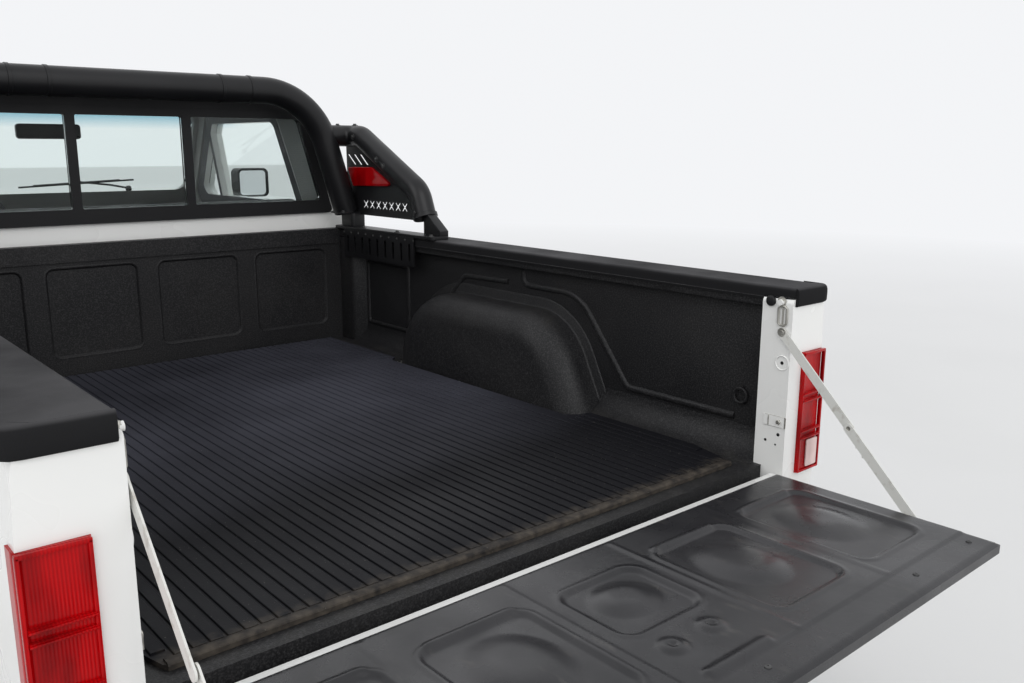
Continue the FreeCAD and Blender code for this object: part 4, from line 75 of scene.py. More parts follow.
class Finish:
    """A Principled material whose colour, gloss and relief vary with the place on the truck."""

    def __init__(self, name, colour, roughness, **inputs):
        self.material = bpy.data.materials.new(name)
        self.material.use_nodes = True
        self.material.diffuse_color = (*colour, 1)
        self.tree = self.material.node_tree
        self.shader = self.tree.nodes["Principled BSDF"]
        for key, value in {"Base_Color": (*colour, 1), "Roughness": roughness, **inputs}.items():
            self.shader.inputs[key.replace("_", " ")].default_value = value
        self.place = self.node("TexCoord", {}).outputs["Object"]
        self.slot = "black_plastic"
        self.tone = None
        self.normal = None

    def node(self, kind, inputs, **settings):
        return add_node(self.tree, kind, inputs, **settings)

    def stretched(self, stretch):
        """The place, scaled along each axis."""
        return self.node("VectorMath", {0: self.place, 1: stretch}, operation="MULTIPLY").outputs[0]

    def noise(self, scale, detail, stretch=(1, 1, 1)):
        inputs = {"Vector": self.stretched(stretch), "Scale": scale, "Detail": detail}
        return self.node("TexNoise", inputs).outputs["Fac"]

    def cells(self, scale):
        inputs = {"Vector": self.stretched((1, 1, 1)), "Scale": scale}
        return self.node("TexVoronoi", inputs).outputs["Distance"]

    def waves(self, pitch, axis):
        """Even waves along an axis, with a pitch in metres."""
        return self.node("TexWave", {"Vector": self.place, "Scale": 0.314159 / pitch}, bands_direction=axis,
                         wave_profile="SIN").outputs["Fac"]

    def along(self, axis):
        """The place along one axis."""
        return self.node("SeparateXYZ", {0: self.place}).outputs[axis]

    def facing(self, axis):
        """How far the surface faces along an axis."""
        normal = self.node("NewGeometry", {}).outputs["Normal"]
        return self.node("SeparateXYZ", {0: normal}).outputs[axis]

    def fed(self, value):
        """A socket as it is, or the noise that its scale, detail and stretch stand for."""
        return self.noise(*value) if isinstance(value, tuple) else value

    def remap(self, value, low, high, first=0, last=1):
        return self.node("MapRange", {"Value": self.fed(value), "From Min": low, "From Max": high,
                                      "To Min": first, "To Max": last}).outputs["Result"]

    def times(self, a, b):
        return self.node("Math", {0: a, 1: self.fed(b)}, operation="MULTIPLY").outputs[0]

    def tint(self, colour, value, low, high, share=1):
        """Blend towards a colour as a value or a noise goes from low to high."""
        base = self.shader.inputs["Base Color"]
        before = base.default_value if self.tone is None else self.tone
        inputs = {0: self.remap(value, low, high, 0, share), 6: before, 7: (*colour, 1)}
        self.tone = self.node("Mix", inputs, data_type="RGBA").outputs[2]
        self.tree.links.new(self.tone, base)
        return self

    def gloss(self, value, low, high, first, last):
        """Roughness from first to last as a value or a noise goes from low to high."""
        self.tree.links.new(self.remap(value, low, high, first, last), self.shader.inputs["Roughness"])
        return self

    def relief(self, value, height, strength):
        """Bumps of a value or a noise, as high as height in metres."""
        inputs = {"Height": self.fed(value), "Distance": height, "Strength": strength}
        if self.normal is not None:
            inputs["Normal"] = self.normal
        self.normal = self.node("Bump", inputs).outputs["Normal"]
        self.tree.links.new(self.normal, self.shader.inputs["Normal"])
        return self


def paint_finish():
    """White enamel, tinted darker and browner in patches low down."""
    made = Finish("white_enamel", (0.82, 0.82, 0.805), 0.28, Coat_Weight=0.35, Coat_Roughness=0.06)
    made.tint((0.77, 0.77, 0.75), (1.3, 2), 0.35, 0.8, 0.6)
    low_down = made.remap(made.along("Z"), 0.75, 0.42)
    made.tint((0.5, 0.46, 0.4), made.times(low_down, (24, 6)), 0.2, 0.9)
    return made.gloss((5, 2), 0.3, 0.75, 0.25, 0.31)


def coating_finish():
    """Textured black coating sprayed inside the bed."""
    made = Finish("bed_spray", (0.007, 0.007, 0.008), 0.5, Specular_IOR_Level=0.3)
    made.tint((0.018, 0.017, 0.017), (3, 6), 0.45, 0.8, 0.8)
    # Upward faces tinted lighter in patches: dust, and a painted sky sheen on the tops.
    made.tint((0.034, 0.032, 0.028), made.times(made.facing("Z"), (14, 8)), 0.45, 0.75, 0.5)
    made.tint((0.052, 0.051, 0.053), (260, 2), 0.46, 0.78, 0.75)
    made.gloss((5, 6), 0.3, 0.7, 0.4, 0.62)
    made.relief((300, 4), 0.0008, 0.8)
    return made.relief(made.cells(420), 0.0004, 0.5)


def grained_finish(name, colour, dust_and_top_light, rough=(0.38, 0.58), grain=520, height=0.0002, level=0.25):
    """Moulded black plastic with a leather-like grain, and dust with painted top light on upward faces."""
    made = Finish(name, colour, 0.5, Specular_IOR_Level=level)
    # Upward faces tinted lighter in patches: dust, and painted light from above.
    made.tint(dust_and_top_light, made.times(made.remap(made.facing("Z"), 0.1, 0.9), (4.5, 7)), 0.22, 0.6, 0.85)
    made.gloss((7, 6), 0.3, 0.7, *rough)
    return made.relief(made.cells(grain), height, 0.7)


def liner_finish():
    """Vacuum-formed plastic of the tailgate liner, rubbed bright in places."""
    made = Finish("gate_liner", (0.012, 0.012, 0.014), 0.4, Specular_IOR_Level=0.42)
    made.tint((0.036, 0.035, 0.038), (3.2, 8), 0.38, 0.7, 0.9)
    made.tint((0.075, 0.07, 0.065), (46, 9, (1, 0.35, 1)), 0.62, 0.78, 0.45)
    made.gloss((8, 8), 0.3, 0.72, 0.2, 0.4)
    made.relief((60, 5), 0.0005, 0.5)
    return made.relief(made.cells(700), 0.00012, 0.5)


def mat_finish():
    """Black rubber with a painted bluish sheen towards the front, and dust at the rear edge."""
    made = Finish("mat_rubber", (0.007, 0.007, 0.009), 0.6, Specular_IOR_Level=0.12)
    # Painted sheen: a bluish sky reflection tinted into the mat, growing from mid-bed towards the front.
    painted_sheen_ahead = made.remap(made.along("Y"), -1.75, -1.05)
    made.tint((0.052, 0.053, 0.068), made.times(painted_sheen_ahead, (1.6, 6)), 0.12, 0.62, 0.9)
    rear_edge = made.remap(made.along("Y"), -1.92, -2)
    made.tint((0.085, 0.072, 0.058), made.times(rear_edge, (50, 7)), 0.2, 0.75)
    made.tint((0.2, 0.19, 0.17), (260, 1), 0.765, 0.8, 0.7)
    made.gloss((3, 7), 0.32, 0.68, 0.4, 0.66)
    return made.relief((240, 4), 0.0004, 0.6)


def metal_finish(name, colour, rough, dark, rust=0):
    """Plated or painted steel with darker patches, and rust where it is old."""
    made = Finish(name, colour, rough, Metallic=0.85)
    made.tint(dark, (38, 7), 0.45, 0.75, 0.8)
    if rust:
        made.tint((0.16, 0.07, 0.03), (21, 8), 0.6, 0.72, rust)
    made.gloss((55, 5), 0.3, 0.7, rough * 0.8, rough * 1.5)
    return made.relief((320, 4), 0.0002, 0.5)


def lens_finish(name, colour, deep, pitch=0.0045, coat=0.05):
    """Coloured lens with fine flutes and the darker housing seen through it."""
    made = Finish(name, colour, 0.12, Specular_IOR_Level=0.12 + 0.4 * coat, Coat_Weight=coat, Coat_Roughness=0.04)
    made.tint(deep, (16, 2, (1.4, 1, 0.5)), 0.42, 0.66, 0.75)
    made.tint(deep, made.waves(pitch, "X"), 0.25, 0.9, 0.35)
    return made.relief(made.waves(pitch, "X"), 0.0005, 0.6)


def glass_finish():
    """Window glass, with the sun band along the top of the windscreen."""
    made = Finish("window_glass", (0.9, 0.95, 0.94), 0.02, Transmission_Weight=1, IOR=1.2)
    top, windscreen = made.remap(made.along("Z"), 1.47, 1.53), made.remap(made.along("Y"), 0.6, 0.8)
    made.tint((0.22, 0.5, 0.62), made.times(top, windscreen), 0, 1, 0.9)
    return made.gloss((6, 4), 0.4, 0.8, 0.01, 0.05)


def cloth_finish(name, colour, other):
    """Woven seat cloth with two thread directions and a little sheen."""
    made = Finish(name, colour, 0.85, Sheen_Weight=0.4)
    made.tint(other, (5, 6), 0.35, 0.75, 0.6)
    made.tint(other, made.waves(0.0021, "X"), 0.2, 0.9, 0.5)
    for axis in "XY":
        made.relief(made.waves(0.0021, axis), 0.0006, 0.8)
    return made.relief((35, 4), 0.0012, 0.5)


PAINT = paint_finish()
COATING = coating_finish()
CAP_PLASTIC = grained_finish("cap_plastic", (0.016, 0.016, 0.017), (0.068, 0.067, 0.07), (0.55, 0.75), level=0.03)
TRIM_PLASTIC = grained_finish("trim_plastic", (0.012, 0.012, 0.013), (0.026, 0.025, 0.025))
DASH_PLASTIC = grained_finish("dash_plastic", (0.06, 0.06, 0.064), (0.085, 0.083, 0.08), (0.5, 0.7), 340)
CARD_VINYL = grained_finish("door_card_vinyl", (0.17, 0.17, 0.18), (0.22, 0.22, 0.22), (0.45, 0.65), 260)
HEADLINER = cloth_finish("headliner_cloth", (0.45, 0.45, 0.44), (0.38, 0.38, 0.37))
LINER = liner_finish()
MAT = mat_finish()
COAT = (Finish("powder_coat", (0.006, 0.006, 0.007), 0.42, Specular_IOR_Level=0.35)
        .tint((0.013, 0.013, 0.014), (3, 5), 0.42, 0.8, 0.8)
        .gloss((11, 5), 0.3, 0.75, 0.34, 0.48)
        .relief((900, 2), 0.00012, 0.6))
CHASSIS = (Finish("chassis_black", (0.035, 0.035, 0.036), 0.55)
           .tint((0.14, 0.11, 0.08), (9, 8), 0.46, 0.78, 0.8)
           .tint((0.18, 0.08, 0.035), (24, 8), 0.62, 0.74, 0.6)
           .gloss((12, 6), 0.3, 0.7, 0.45, 0.75)
           .relief((210, 5), 0.0005, 0.7))
BUMPER = grained_finish("bumper_black", (0.018, 0.018, 0.019), (0.04, 0.039, 0.037), (0.3, 0.5), 800, 0.00006)
CAST = metal_finish("cast_iron", (0.22, 0.22, 0.22), 0.6, (0.09, 0.085, 0.08), 0.6)
PIPE = metal_finish("exhaust_steel", (0.38, 0.36, 0.33), 0.45, (0.16, 0.13, 0.1), 0.7)
ZINC = metal_finish("zinc_plate", (0.52, 0.51, 0.47), 0.36, (0.22, 0.21, 0.18))
DARK_STEEL = metal_finish("dark_steel", (0.1, 0.1, 0.1), 0.45, (0.04, 0.04, 0.04))
STRAP = (Finish("strap_paint", (0.66, 0.66, 0.63), 0.42)
         .tint((0.4, 0.37, 0.32), (42, 8), 0.55, 0.72, 0.7)
         .relief((300, 3), 0.0002, 0.5))
RIM_PAINT = metal_finish("wheel_silver", (0.6, 0.61, 0.62), 0.34, (0.42, 0.42, 0.42))
RUBBER = grained_finish("black_rubber", (0.01, 0.01, 0.011), (0.022, 0.022, 0.022), (0.45, 0.6), 600, 0.00008)
GLASS = glass_finish()
RED_LENS = lens_finish("red_lens", (0.46, 0.001, 0.003), (0.15, 0, 0.001))
CLEAR_LENS = lens_finish("clear_lens", (0.78, 0.6, 0.57), (0.52, 0.38, 0.36))
AMBER_LENS = lens_finish("amber_lens", (0.75, 0.24, 0.02), (0.45, 0.12, 0.01))
HEADLAMP_LENS = lens_finish("headlamp_lens", (0.7, 0.72, 0.74), (0.34, 0.36, 0.38), 0.012, 0.8)
CLOTH = cloth_finish("seat_cloth", (0.05, 0.05, 0.054), (0.085, 0.085, 0.09))
MIRROR = Finish("mirror_silver", (0.8, 0.82, 0.84), 0.03, Metallic=1).gloss((20, 3), 0.4, 0.8, 0.02, 0.06)
TYRE = (Finish("tyre_rubber", (0.024, 0.024, 0.025), 0.72)
        .tint((0.085, 0.078, 0.068), (18, 7), 0.46, 0.8, 0.7)
        .gloss((24, 5), 0.3, 0.7, 0.62, 0.85)
        .relief((260, 4), 0.0004, 0.6))

# The slot name that each finish holds, where that isn't black plastic.
for finish, slot in ((PAINT, "white_paint"), (COATING, "bed_coating"), (MAT, "mat_rubber"), (COAT, "bar_coating"),
                     (RED_LENS, "red_lens"), (CLEAR_LENS, "headlamp_glass"), (AMBER_LENS, "headlamp_glass"),
                     (HEADLAMP_LENS, "headlamp_glass"), (ZINC, "strap_steel"), (STRAP, "strap_steel"),
                     (TYRE, "tyre"), (MIRROR, "glass"), (CLOTH, "seat_cloth"), (HEADLINER, "dash_plastic")):
    finish.slot = slot


def dress(names, finish, inside=None, is_inside=None):
    """Give CAD nodes their finish, and another one to the faces on the inside."""
    for name in names.split():
        mesh = NODES[name].data
        mesh.materials.clear()
        mesh.materials.append(finish.material)
        for face in mesh.polygons:
            face.material_index = 0
        if inside is None:
            continue
        mesh.materials.append(inside.material)
        for face in mesh.polygons:
            if is_inside(face.center, face.normal):
                face.material_index = 1


def in_cab(centre, normal):
    """True for the faces of the cab that look into its room."""
    middle = Vector((0, 0.7, 1.1))
    return (abs(centre.x) < 0.832 and 0.05 < centre.y < 1.455 and centre.z > 0.57
            and normal.dot(middle - centre) > 0)


def in_bed(centre, _):
    """True for the faces of the bed's sides that look into it."""
    return abs(centre.x) < 0.806 and centre.z > 0.72 and centre.y > at(0, 0.5, 0).y


for finish, names in (
    (PAINT, "hood front_fenders tailgate"),
    (COATING, "bed_floor bed_front_wall"),
    (CAP_PLASTIC, "rail_caps"),
    (TRIM_PLASTIC, "grille door_mirror_left door_mirror_right inner_mirror"),
    (COAT, "bar_hoop bar_sides"),
    (CHASSIS, "frame rear_axle rear_springs front_suspension drive_shaft fuel_tank"),
    (BUMPER, "front_bumper rear_bumper"),
    (CAST, "engine knuckle_left knuckle_right"),
    (PIPE, "exhaust"),
    (STRAP, "strap_upper_left strap_upper_right strap_lower_left strap_lower_right"),
    (RUBBER, "rear_window_frame"),
    (GLASS, "cab_glass door_glass_left door_glass_right"),
    (RED_LENS, "rear_lamps bar_lamps"),
    (HEADLAMP_LENS, "headlamps"),
    (DASH_PLASTIC, "dashboard steering_wheel"),
    (RIM_PAINT, "wheel_front_left wheel_front_right wheel_rear_left wheel_rear_right"),
):
    dress(names, finish)
dress("bed_outer_sides", PAINT, COATING, in_bed)
dress("cab_shell", PAINT, HEADLINER, in_cab)
dress("door_left", PAINT, CARD_VINYL, lambda centre, normal: normal.x > 0.35 and centre.x > -0.842)
dress("door_right", PAINT, CARD_VINYL, lambda centre, normal: normal.x < -0.35 and centre.x < 0.842)


# Shapes

def even_angles(steps, turn=FULL_TURN):
    """Even angles of a full turn, or of a part turn with both its ends."""
    return [turn * i / steps for i in range(steps + (turn < FULL_TURN))]


def grid_faces(rows, width, closed=False, round_rows=False):
    """Quads between rows of points; closed joins the last row to the first, round_rows the ends of each row."""
    faces = []
    for k in range(rows if closed else rows - 1):
        n = (k + 1) % rows
        for i in range(width if round_rows else width - 1):
            j = (i + 1) % width
            faces.append([k * width + i, k * width + j, n * width + j, n * width + i])
    return faces


def end_faces(rows, width):
    """The faces that close the first and the last row."""
    return [list(range(width))[::-1], list(range((rows - 1) * width, rows * width))]


class Shape:
    """Vertices and faces gathered from simple solids, in metres. Outlines, sections and radii are in millimetres."""

    def __init__(self, vertices=(), faces=()):
        self.vertices = list(vertices)
        self.faces = list(faces)

    def add(self, vertices, faces):
        start = len(self.vertices)
        self.vertices += [Vector(v) for v in vertices]
        self.faces += [[i + start for i in face] for face in faces]
        return self

    def prism(self, points, depth):
        """A flat outline of points pushed along a vector."""
        count = len(points)
        faces = end_faces(2, count) + grid_faces(2, count, round_rows=True)
        return self.add([Vector(p) for p in points] + [Vector(p) + Vector(depth) for p in points], faces)

    def slab(self, axis, start, depth, outline):
        """An outline in two axes of the bed's frame, filled from a start along the third axis."""
        place = {"x": lambda a, b: at(start, a, b), "y": lambda a, b: at(a, start, b),
                 "z": lambda a, b: at(a, b, start)}[axis]
        return self.prism([place(a, b) for a, b in outline], [depth / 1000 if axis == k else 0 for k in "xyz"])

    def box(self, corner, other):
        low, high = ([pick(pair) for pair in zip(corner, other)] for pick in (min, max))
        outline = [(low[0], low[1]), (high[0], low[1]), (high[0], high[1]), (low[0], high[1])]
        return self.slab("z", low[2], high[2] - low[2], outline)

    def lathe(self, profile, origin, axis, steps=28):
        """A profile of (distance along the axis, radius) turned about it."""
        axis = Vector(axis).normalized()
        side = axis.orthogonal().normalized()
        up = axis.cross(side)
        rings = []
        for along, radius in profile:
            centre = Vector(origin) + axis * (along / 1000)
            rings += [centre + (side * math.cos(t) + up * math.sin(t)) * (radius / 1000) for t in even_angles(steps)]
        count = len(profile)
        ends = [face for face, (_, radius) in zip(end_faces(count, steps), (profile[0], profile[-1])) if radius > 0]
        return self.add(rings, grid_faces(count, steps, round_rows=True) + ends)

    def bolt(self, origin, axis, radius):
        """A hexagon head on a washer, with a chamfered top."""
        self.lathe([(0, radius * 1.9), (radius * 0.25, radius * 1.9)], origin, axis, 20)
        return self.lathe([(radius * 0.2, radius * 1.1), (radius * 0.9, radius * 1.1), (radius * 1.1, radius * 0.9)],
                          origin, axis, 6)

    def screw(self, origin, axis, radius):
        """A low round head with a dimple."""
        head = ((0, 1), (0.25, 0.95), (0.45, 0.6), (0.45, 0.3), (0.2, 0.2))
        return self.lathe([(radius * along, radius * out) for along, out in head], origin, axis, 18)

    def tube(self, points, radius, steps=12, closed=False):
        """A round bar through the points."""
        points = [Vector(p) for p in points]
        count = len(points)
        rings = []
        side = None
        for k, point in enumerate(points):
            after = points[(k + 1) % count] if closed or k < count - 1 else point
            before = points[k - 1] if closed or k > 0 else point
            along = (after - before).normalized()
            side = along.orthogonal() if side is None else side - along * side.dot(along)
            side.normalize()
            up = along.cross(side)
            rings += [point + (side * math.cos(t) + up * math.sin(t)) * (radius / 1000) for t in even_angles(steps)]
        ends = [] if closed else end_faces(count, steps)
        return self.add(rings, grid_faces(count, steps, closed, True) + ends)

    def sweep(self, path, profile, place, closed=False):
        """A profile of (across, rise) carried along a flat path; place(a, b, rise) gives the points."""
        path = [Vector(p) for p in path]
        count = len(path)
        points = []
        for k, point in enumerate(path):
            runs = []
            if closed or k > 0:
                runs.append((point - path[k - 1]).normalized())
            if closed or k < count - 1:
                runs.append((path[(k + 1) % count] - point).normalized())
            along = (runs[0] + runs[-1]).normalized()
            across = Vector((-along.y, along.x)) / max(along.dot(runs[0]), 0.3)
            points += [place(*(point + across * side), rise) for side, rise in profile]
        width = len(profile)
        return self.add(points, grid_faces(count, width, closed) + ([] if closed else end_faces(count, width)))

    def cut_sheet(self, outlines, thickness, place):
        """A flat sheet whose first outline is its edge and whose others are its holes."""
        curve = bpy.data.curves.new("cut_sheet", "CURVE")
        curve.dimensions = "2D"
        curve.fill_mode = "BOTH"
        curve.extrude = thickness / 2
        for outline in outlines:
            spline = curve.splines.new("POLY")
            spline.points.add(len(outline) - 1)
            spline.use_cyclic_u = True
            for point, (a, b) in zip(spline.points, outline):
                point.co = (a, b, 0, 1)
        holder = bpy.data.objects.new("cut_sheet", curve)
        mesh = bpy.data.meshes.new_from_object(holder)
        self.add([place(*v.co) for v in mesh.vertices], [list(p.vertices) for p in mesh.polygons])
        bpy.data.objects.remove(holder)
        bpy.data.meshes.remove(mesh)
        bpy.data.curves.remove(curve)
        return self

    def moved(self, way):
        """A copy moved by a vector."""
        return Shape([v + way for v in self.vertices], self.faces)

    def other_side(self):
        """A copy on the other side of the truck."""
        return Shape([Vector((-v.x, v.y, v.z)) for v in self.vertices], [face[::-1] for face in self.faces])

    def mirrored(self):
        """The same with its copy on the other side of the truck."""
        copy = self.other_side()
        return self.add(copy.vertices, copy.faces)

    def make(self, name, finish, body="truck", slot=None, replaces=None, bevel=0, segments=2, angle=32):
        """One piece that rides on a body, in its finish; the slot argument is not used."""
        mesh = bpy.data.meshes.new(name)
        mesh.from_pydata(self.vertices, [], self.faces)
        work = bmesh.new()
        work.from_mesh(mesh)
        bmesh.ops.recalc_face_normals(work, faces=work.faces)
        if bevel:
            edges = [e for e in work.edges if len(e.link_faces) == 2 and e.calc_face_angle(0) > math.radians(angle)]
            bmesh.ops.bevel(work, geom=edges, offset=bevel / 1000, segments=segments, affect="EDGES", profile=0.6,
                            clamp_overlap=True)
        work.to_mesh(mesh)
        work.free()
        mesh.shade_smooth()
        mesh.set_sharp_from_angle(angle=math.radians(angle))
        mesh.materials.append(finish.material)
        piece = add_object(name, mesh)
        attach(piece, body)
        if replaces:
            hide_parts(replaces)
        return piece


def rounded(x0, x1, z0, z1, radius, steps=5):
    """Corners of a rounded rectangle as (a, b)."""
    points = []
    left, right, low, high = x0 + radius, x1 - radius, z0 + radius, z1 - radius
    for cx, cz, start in ((right, low, -90), (right, high, 0), (left, high, 90), (left, low, 180)):
        for i in range(steps + 1):
            angle = math.radians(start + 90 * i / steps)
            points.append((cx + radius * math.cos(angle), cz + radius * math.sin(angle)))
    return points


def arced(points, steps=9):
    """A flat line through (a, b, radius) corners, rounded where they have a radius."""
    line = []
    for k, (a, b, radius) in enumerate(points):
        corner = Vector((a, b))
        if radius <= 0:
            line.append(corner)
            continue
        before, after = ((Vector(points[n % len(points)][:2]) - corner).normalized() for n in (k - 1, k + 1))
        half = before.angle(after) / 2
        centre = corner + (before + after).normalized() * (radius / math.sin(half))
        start, end = (corner + way * (radius / math.tan(half)) - centre for way in (before, after))
        first = math.atan2(start.y, start.x)
        turn = (math.atan2(end.y, end.x) - first + math.pi) % FULL_TURN - math.pi
        line += [centre + Vector((math.cos(first + turn * i / steps), math.sin(first + turn * i / steps))) * radius
                 for i in range(steps + 1)]
    return line


def pipe_path(points, bends, steps):
    """A path in space through points, with a bend radius for each inner one."""
    points = [Vector(p) for p in points]
    path = [points[0]]
    for before, corner, after, radius in zip(points, points[1:], points[2:], bends):
        ways = [(end - corner).normalized() for end in (before, after)]
        half = ways[0].angle(ways[1]) / 2
        centre = corner + (ways[0] + ways[1]).normalized() * (radius / math.sin(half))
        start, end = ((corner + way * (radius / math.tan(half)) - centre).normalized() for way in ways)
        path += [centre + start.slerp(end, i / steps) * radius for i in range(steps + 1)]
    return path + [points[-1]]


def ease(value):
    """A smooth step from 0 to 1."""
    value = min(max(value, 0), 1)
    return value * value * (3 - 2 * value)


# The ribbed mat

MAT_REAR, MAT_FRONT, MAT_FOOT, MAT_TOP = 18, 1949, 0.4, 12
MAT_HALF, MAT_REAR_HALF, MAT_FLARE, MAT_FRONT_HALF = 728, 690, 152, 690
NOTCH_HALF, NOTCH_NEAR, NOTCH_FAR = 658, 541, 1494
RIB_PITCH, RIB_GROOVE, RIB_DEPTH, RIB_SHIFT = 28.3, 5, 3.2, 8
RIB_REAR_GAP, RIB_END_GAP, RIB_SIDE_GAP = 22, 6, 3


def mat_side(station):
    """Half width of the mat at a station."""
    return MAT_REAR_HALF + (MAT_HALF - MAT_REAR_HALF) * min((station - MAT_REAR) / MAT_FLARE, 1)


def rib_runs(outer):
    """Stations between which a rib runs whose outer edge is this far out."""
    rear, front = MAT_REAR + RIB_REAR_GAP, MAT_FRONT - RIB_END_GAP
    if outer < NOTCH_HALF:
        return [(rear, front)]
    if outer >= MAT_HALF:
        return []
    if outer > MAT_REAR_HALF:
        flare = MAT_FLARE * (outer - MAT_REAR_HALF) / (MAT_HALF - MAT_REAR_HALF)
        rear = max(rear, MAT_REAR + flare + RIB_END_GAP)
    ahead = [(NOTCH_FAR + RIB_END_GAP, front)] if outer < MAT_FRONT_HALF else []
    return [(rear, NOTCH_NEAR - RIB_END_GAP)] + ahead


def make_mat():
    half = [(MAT_REAR_HALF - 8, MAT_REAR), (MAT_REAR_HALF + 1, MAT_REAR + 9)]
    half += [(mat_side(s), s) for s in (90, 130, MAT_REAR + MAT_FLARE)]
    half += [(MAT_HALF, NOTCH_NEAR), (NOTCH_HALF + 30, NOTCH_NEAR + 6), (NOTCH_HALF, NOTCH_NEAR + 34),
             (NOTCH_HALF, NOTCH_FAR - 34), (NOTCH_HALF + 20, NOTCH_FAR - 6), (MAT_FRONT_HALF, NOTCH_FAR),
             (MAT_FRONT_HALF, MAT_FRONT)]
    base = Shape().slab("z", MAT_FOOT, MAT_TOP - RIB_DEPTH - MAT_FOOT, half + [(-x, s) for x, s in reversed(half)])
    base.make("mat_base", MAT)
    ribs = Shape()
    foot, lowest = MAT_TOP - RIB_DEPTH - 0.3, math.floor(-MAT_HALF / RIB_PITCH)
    for i in range(lowest, -lowest + 1):
        middle, reach = (i + 0.5) * RIB_PITCH + RIB_SHIFT, (RIB_PITCH - RIB_GROOVE) / 2
        left, right = middle - reach, middle + reach
        section = [(left, foot), (left + 0.5, MAT_TOP - 0.9), (left + 1.6, MAT_TOP), (right - 1.6, MAT_TOP),
                   (right - 0.5, MAT_TOP - 0.9), (right, foot)]
        for start, end in rib_runs(max(abs(left), abs(right)) + RIB_SIDE_GAP):
            ribs.slab("y", start, end - start, section)
    ribs.make("mat_ribs", MAT)
    rear = MAT_REAR_HALF - 4
    profile = [(0.4, 0.5), (0, 7.5), (2, 11), (6.5, 12.6), (14, 12.8), (20, 12), (22.5, 8), (22.5, 0.5)]
    border = Shape().slab("x", -rear, 2 * rear, [(MAT_REAR + s, h) for s, h in profile])
    border.make("mat_rear_edge", MAT, replaces="bed_mat")


make_mat()


# The tailgate's formed liner

LINER_NEAR, LINER_FAR, LINER_HALF = -80, -588, 734
LINER_TOP, LINER_EDGE, LINER_LIP = -1.7, -7.6, -27
LIP_STATION, STEP_STATION, STUD_STATION = -582, -515, -417
PAN_CORNER = 34
PANS = (
    # middle x, half width, near station, far station
    (0, 98, -183, -359),
    (275, 110, -173, -462),
    (-275, 110, -173, -462),
    (560, 110, -165, -462),
    (-560, 110, -165, -462),
)


def box_distance(x, s, middle, half, near, far, radius):
    """Distance inside a rounded rectangle, negative outside it."""
    dx = abs(x - middle) - half + radius
    ds = abs(s - (near + far) / 2) - (near - far) / 2 + radius
    outside = math.hypot(max(dx, 0), max(ds, 0)) + min(max(dx, ds), 0)
    return radius - outside


def liner_height(x, s):
    """Relief of the liner around its flat level: pans, pillows, lips, ribs, step, bulge, dimpled studs and edge."""
    height = 0
    for middle, half, near, far in PANS:
        inside = box_distance(x, s, middle, half, near, far, PAN_CORNER)
        if inside > -16:
            height += 1.8 * ease((inside + 16) / 10) * (1 - ease((inside + 4) / 8))
            height -= 5.4 * ease((inside + 2) / 9)
            across = (x - middle) / (half - 26)
            along = (s - (near * 0.56 + far * 0.44)) / ((near - far) * 0.36)
            height += 11 * ease(1.1 - math.hypot(across, along) ** 1.6)
        if middle:
            lip = box_distance(x, s, middle - math.copysign(8, middle), half - 18, near + 12, near - 8, 9.9)
            height += 3.6 * ease((lip + 3) / 8)
    for rib in (-430, -137, 137, 430):
        if -512 < s < -92:
            height += 1.5 * ease(1 - abs(abs(x - rib) - 3) / 6)
    if s < STEP_STATION:
        height -= 2.4 * ease((STEP_STATION - s) / 5)
    bulge = box_distance(x, s, -8, 84, -488, -514, 12.9)
    height += 5.5 * ease((bulge + 2) / 11)
    for stud in (-62, 36):
        reach = math.hypot(x - stud, s - STUD_STATION)
        height += 5 * ease((30 - reach) / 16) - 4.5 * ease((7 - reach) / 3.5)
    edge = min(LINER_HALF - abs(x), s - LINER_FAR, 0.6 * (LINER_NEAR - s) + 4)
    return height - 5 * ease(1 - edge / 9)


def make_liner():
    columns, rows = 294, 104
    width = columns + 1
    vertices = []
    for j in range(rows + 1):
        s = LINER_NEAR + (LINER_FAR - LINER_NEAR) * j / rows
        for i in range(width):
            x = -LINER_HALF + 2 * LINER_HALF * i / columns
            vertices.append(at(x, s, LINER_TOP + liner_height(x, s)))
    sheet = Shape(vertices, grid_faces(rows + 1, width))
    rim = [j * width for j in range(rows + 1)] + [rows * width + i for i in range(1, width)]
    rim += [j * width + columns for j in range(rows - 1, -1, -1)] + list(range(columns - 1, 0, -1))
    lip = at(0, LIP_STATION, 0).y
    start, count = len(vertices), len(rim)
    for i in rim:
        x, y, _ = vertices[i]
        sheet.vertices.append(Vector((x, y, at(0, 0, LINER_EDGE if y > lip else LINER_LIP).z)))
    sheet.faces += [[rim[k], rim[(k + 1) % count], start + (k + 1) % count, start + k] for k in range(count)]
    sheet.faces.append([start + k for k in range(count)])
    sheet.make("formed_liner", LINER, "tailgate_leaf", replaces="tailgate_liner", angle=55)
    screws = Shape()
    for x in (4, -471, 471, -690, 690):
        screws.screw(at(x, -545, LINER_TOP - 2.6), UP, 6)
    screws.make("liner_screws", DARK_STEEL, "tailgate_leaf")


def make_gate_edge():
    """The gate's near edge, ahead of its hinge."""
    section = [(-106, -8), (-61, -8), (-58, -9.2), (-57, -12), (-57, -46), (-60, -51), (-66, -52), (-106, -52)]
    Shape().slab("x", -735, 1470, section).make("gate_near_edge", PAINT, "tailgate_leaf")


make_liner()
make_gate_edge()


# The bed's inner sides

WALL, WALL_END, WALL_GAP, WALL_TOP = 800, 1970.7, 0.3, 411.7
AXLE = 1065
FLANGE, FLANGE_FOOT = 804, 389.7
COVE, SHOULDER = 69.4, 85
HOUSE_LINE = ((-511.8, -4, 0), (-375, 268, 220), (375, 268, 260), (414.8, -4, 0))
FRONT_BEAD = ((232, 250, 0), (150, 329, 60), (-78, 333, 0))
REAR_BEAD = ((-152, 376, 0), (-150, 331, 28), (-402, 331, 150), (-600, 87, 40), (-967, 87, 0))
BEAD_SECTION = ((-10, -0.4), (-8.6, 2.6), (-5.5, 5.2), (-2, 6.2), (2, 6.2), (5.5, 5.2), (8.6, 2.6), (10, -0.4))


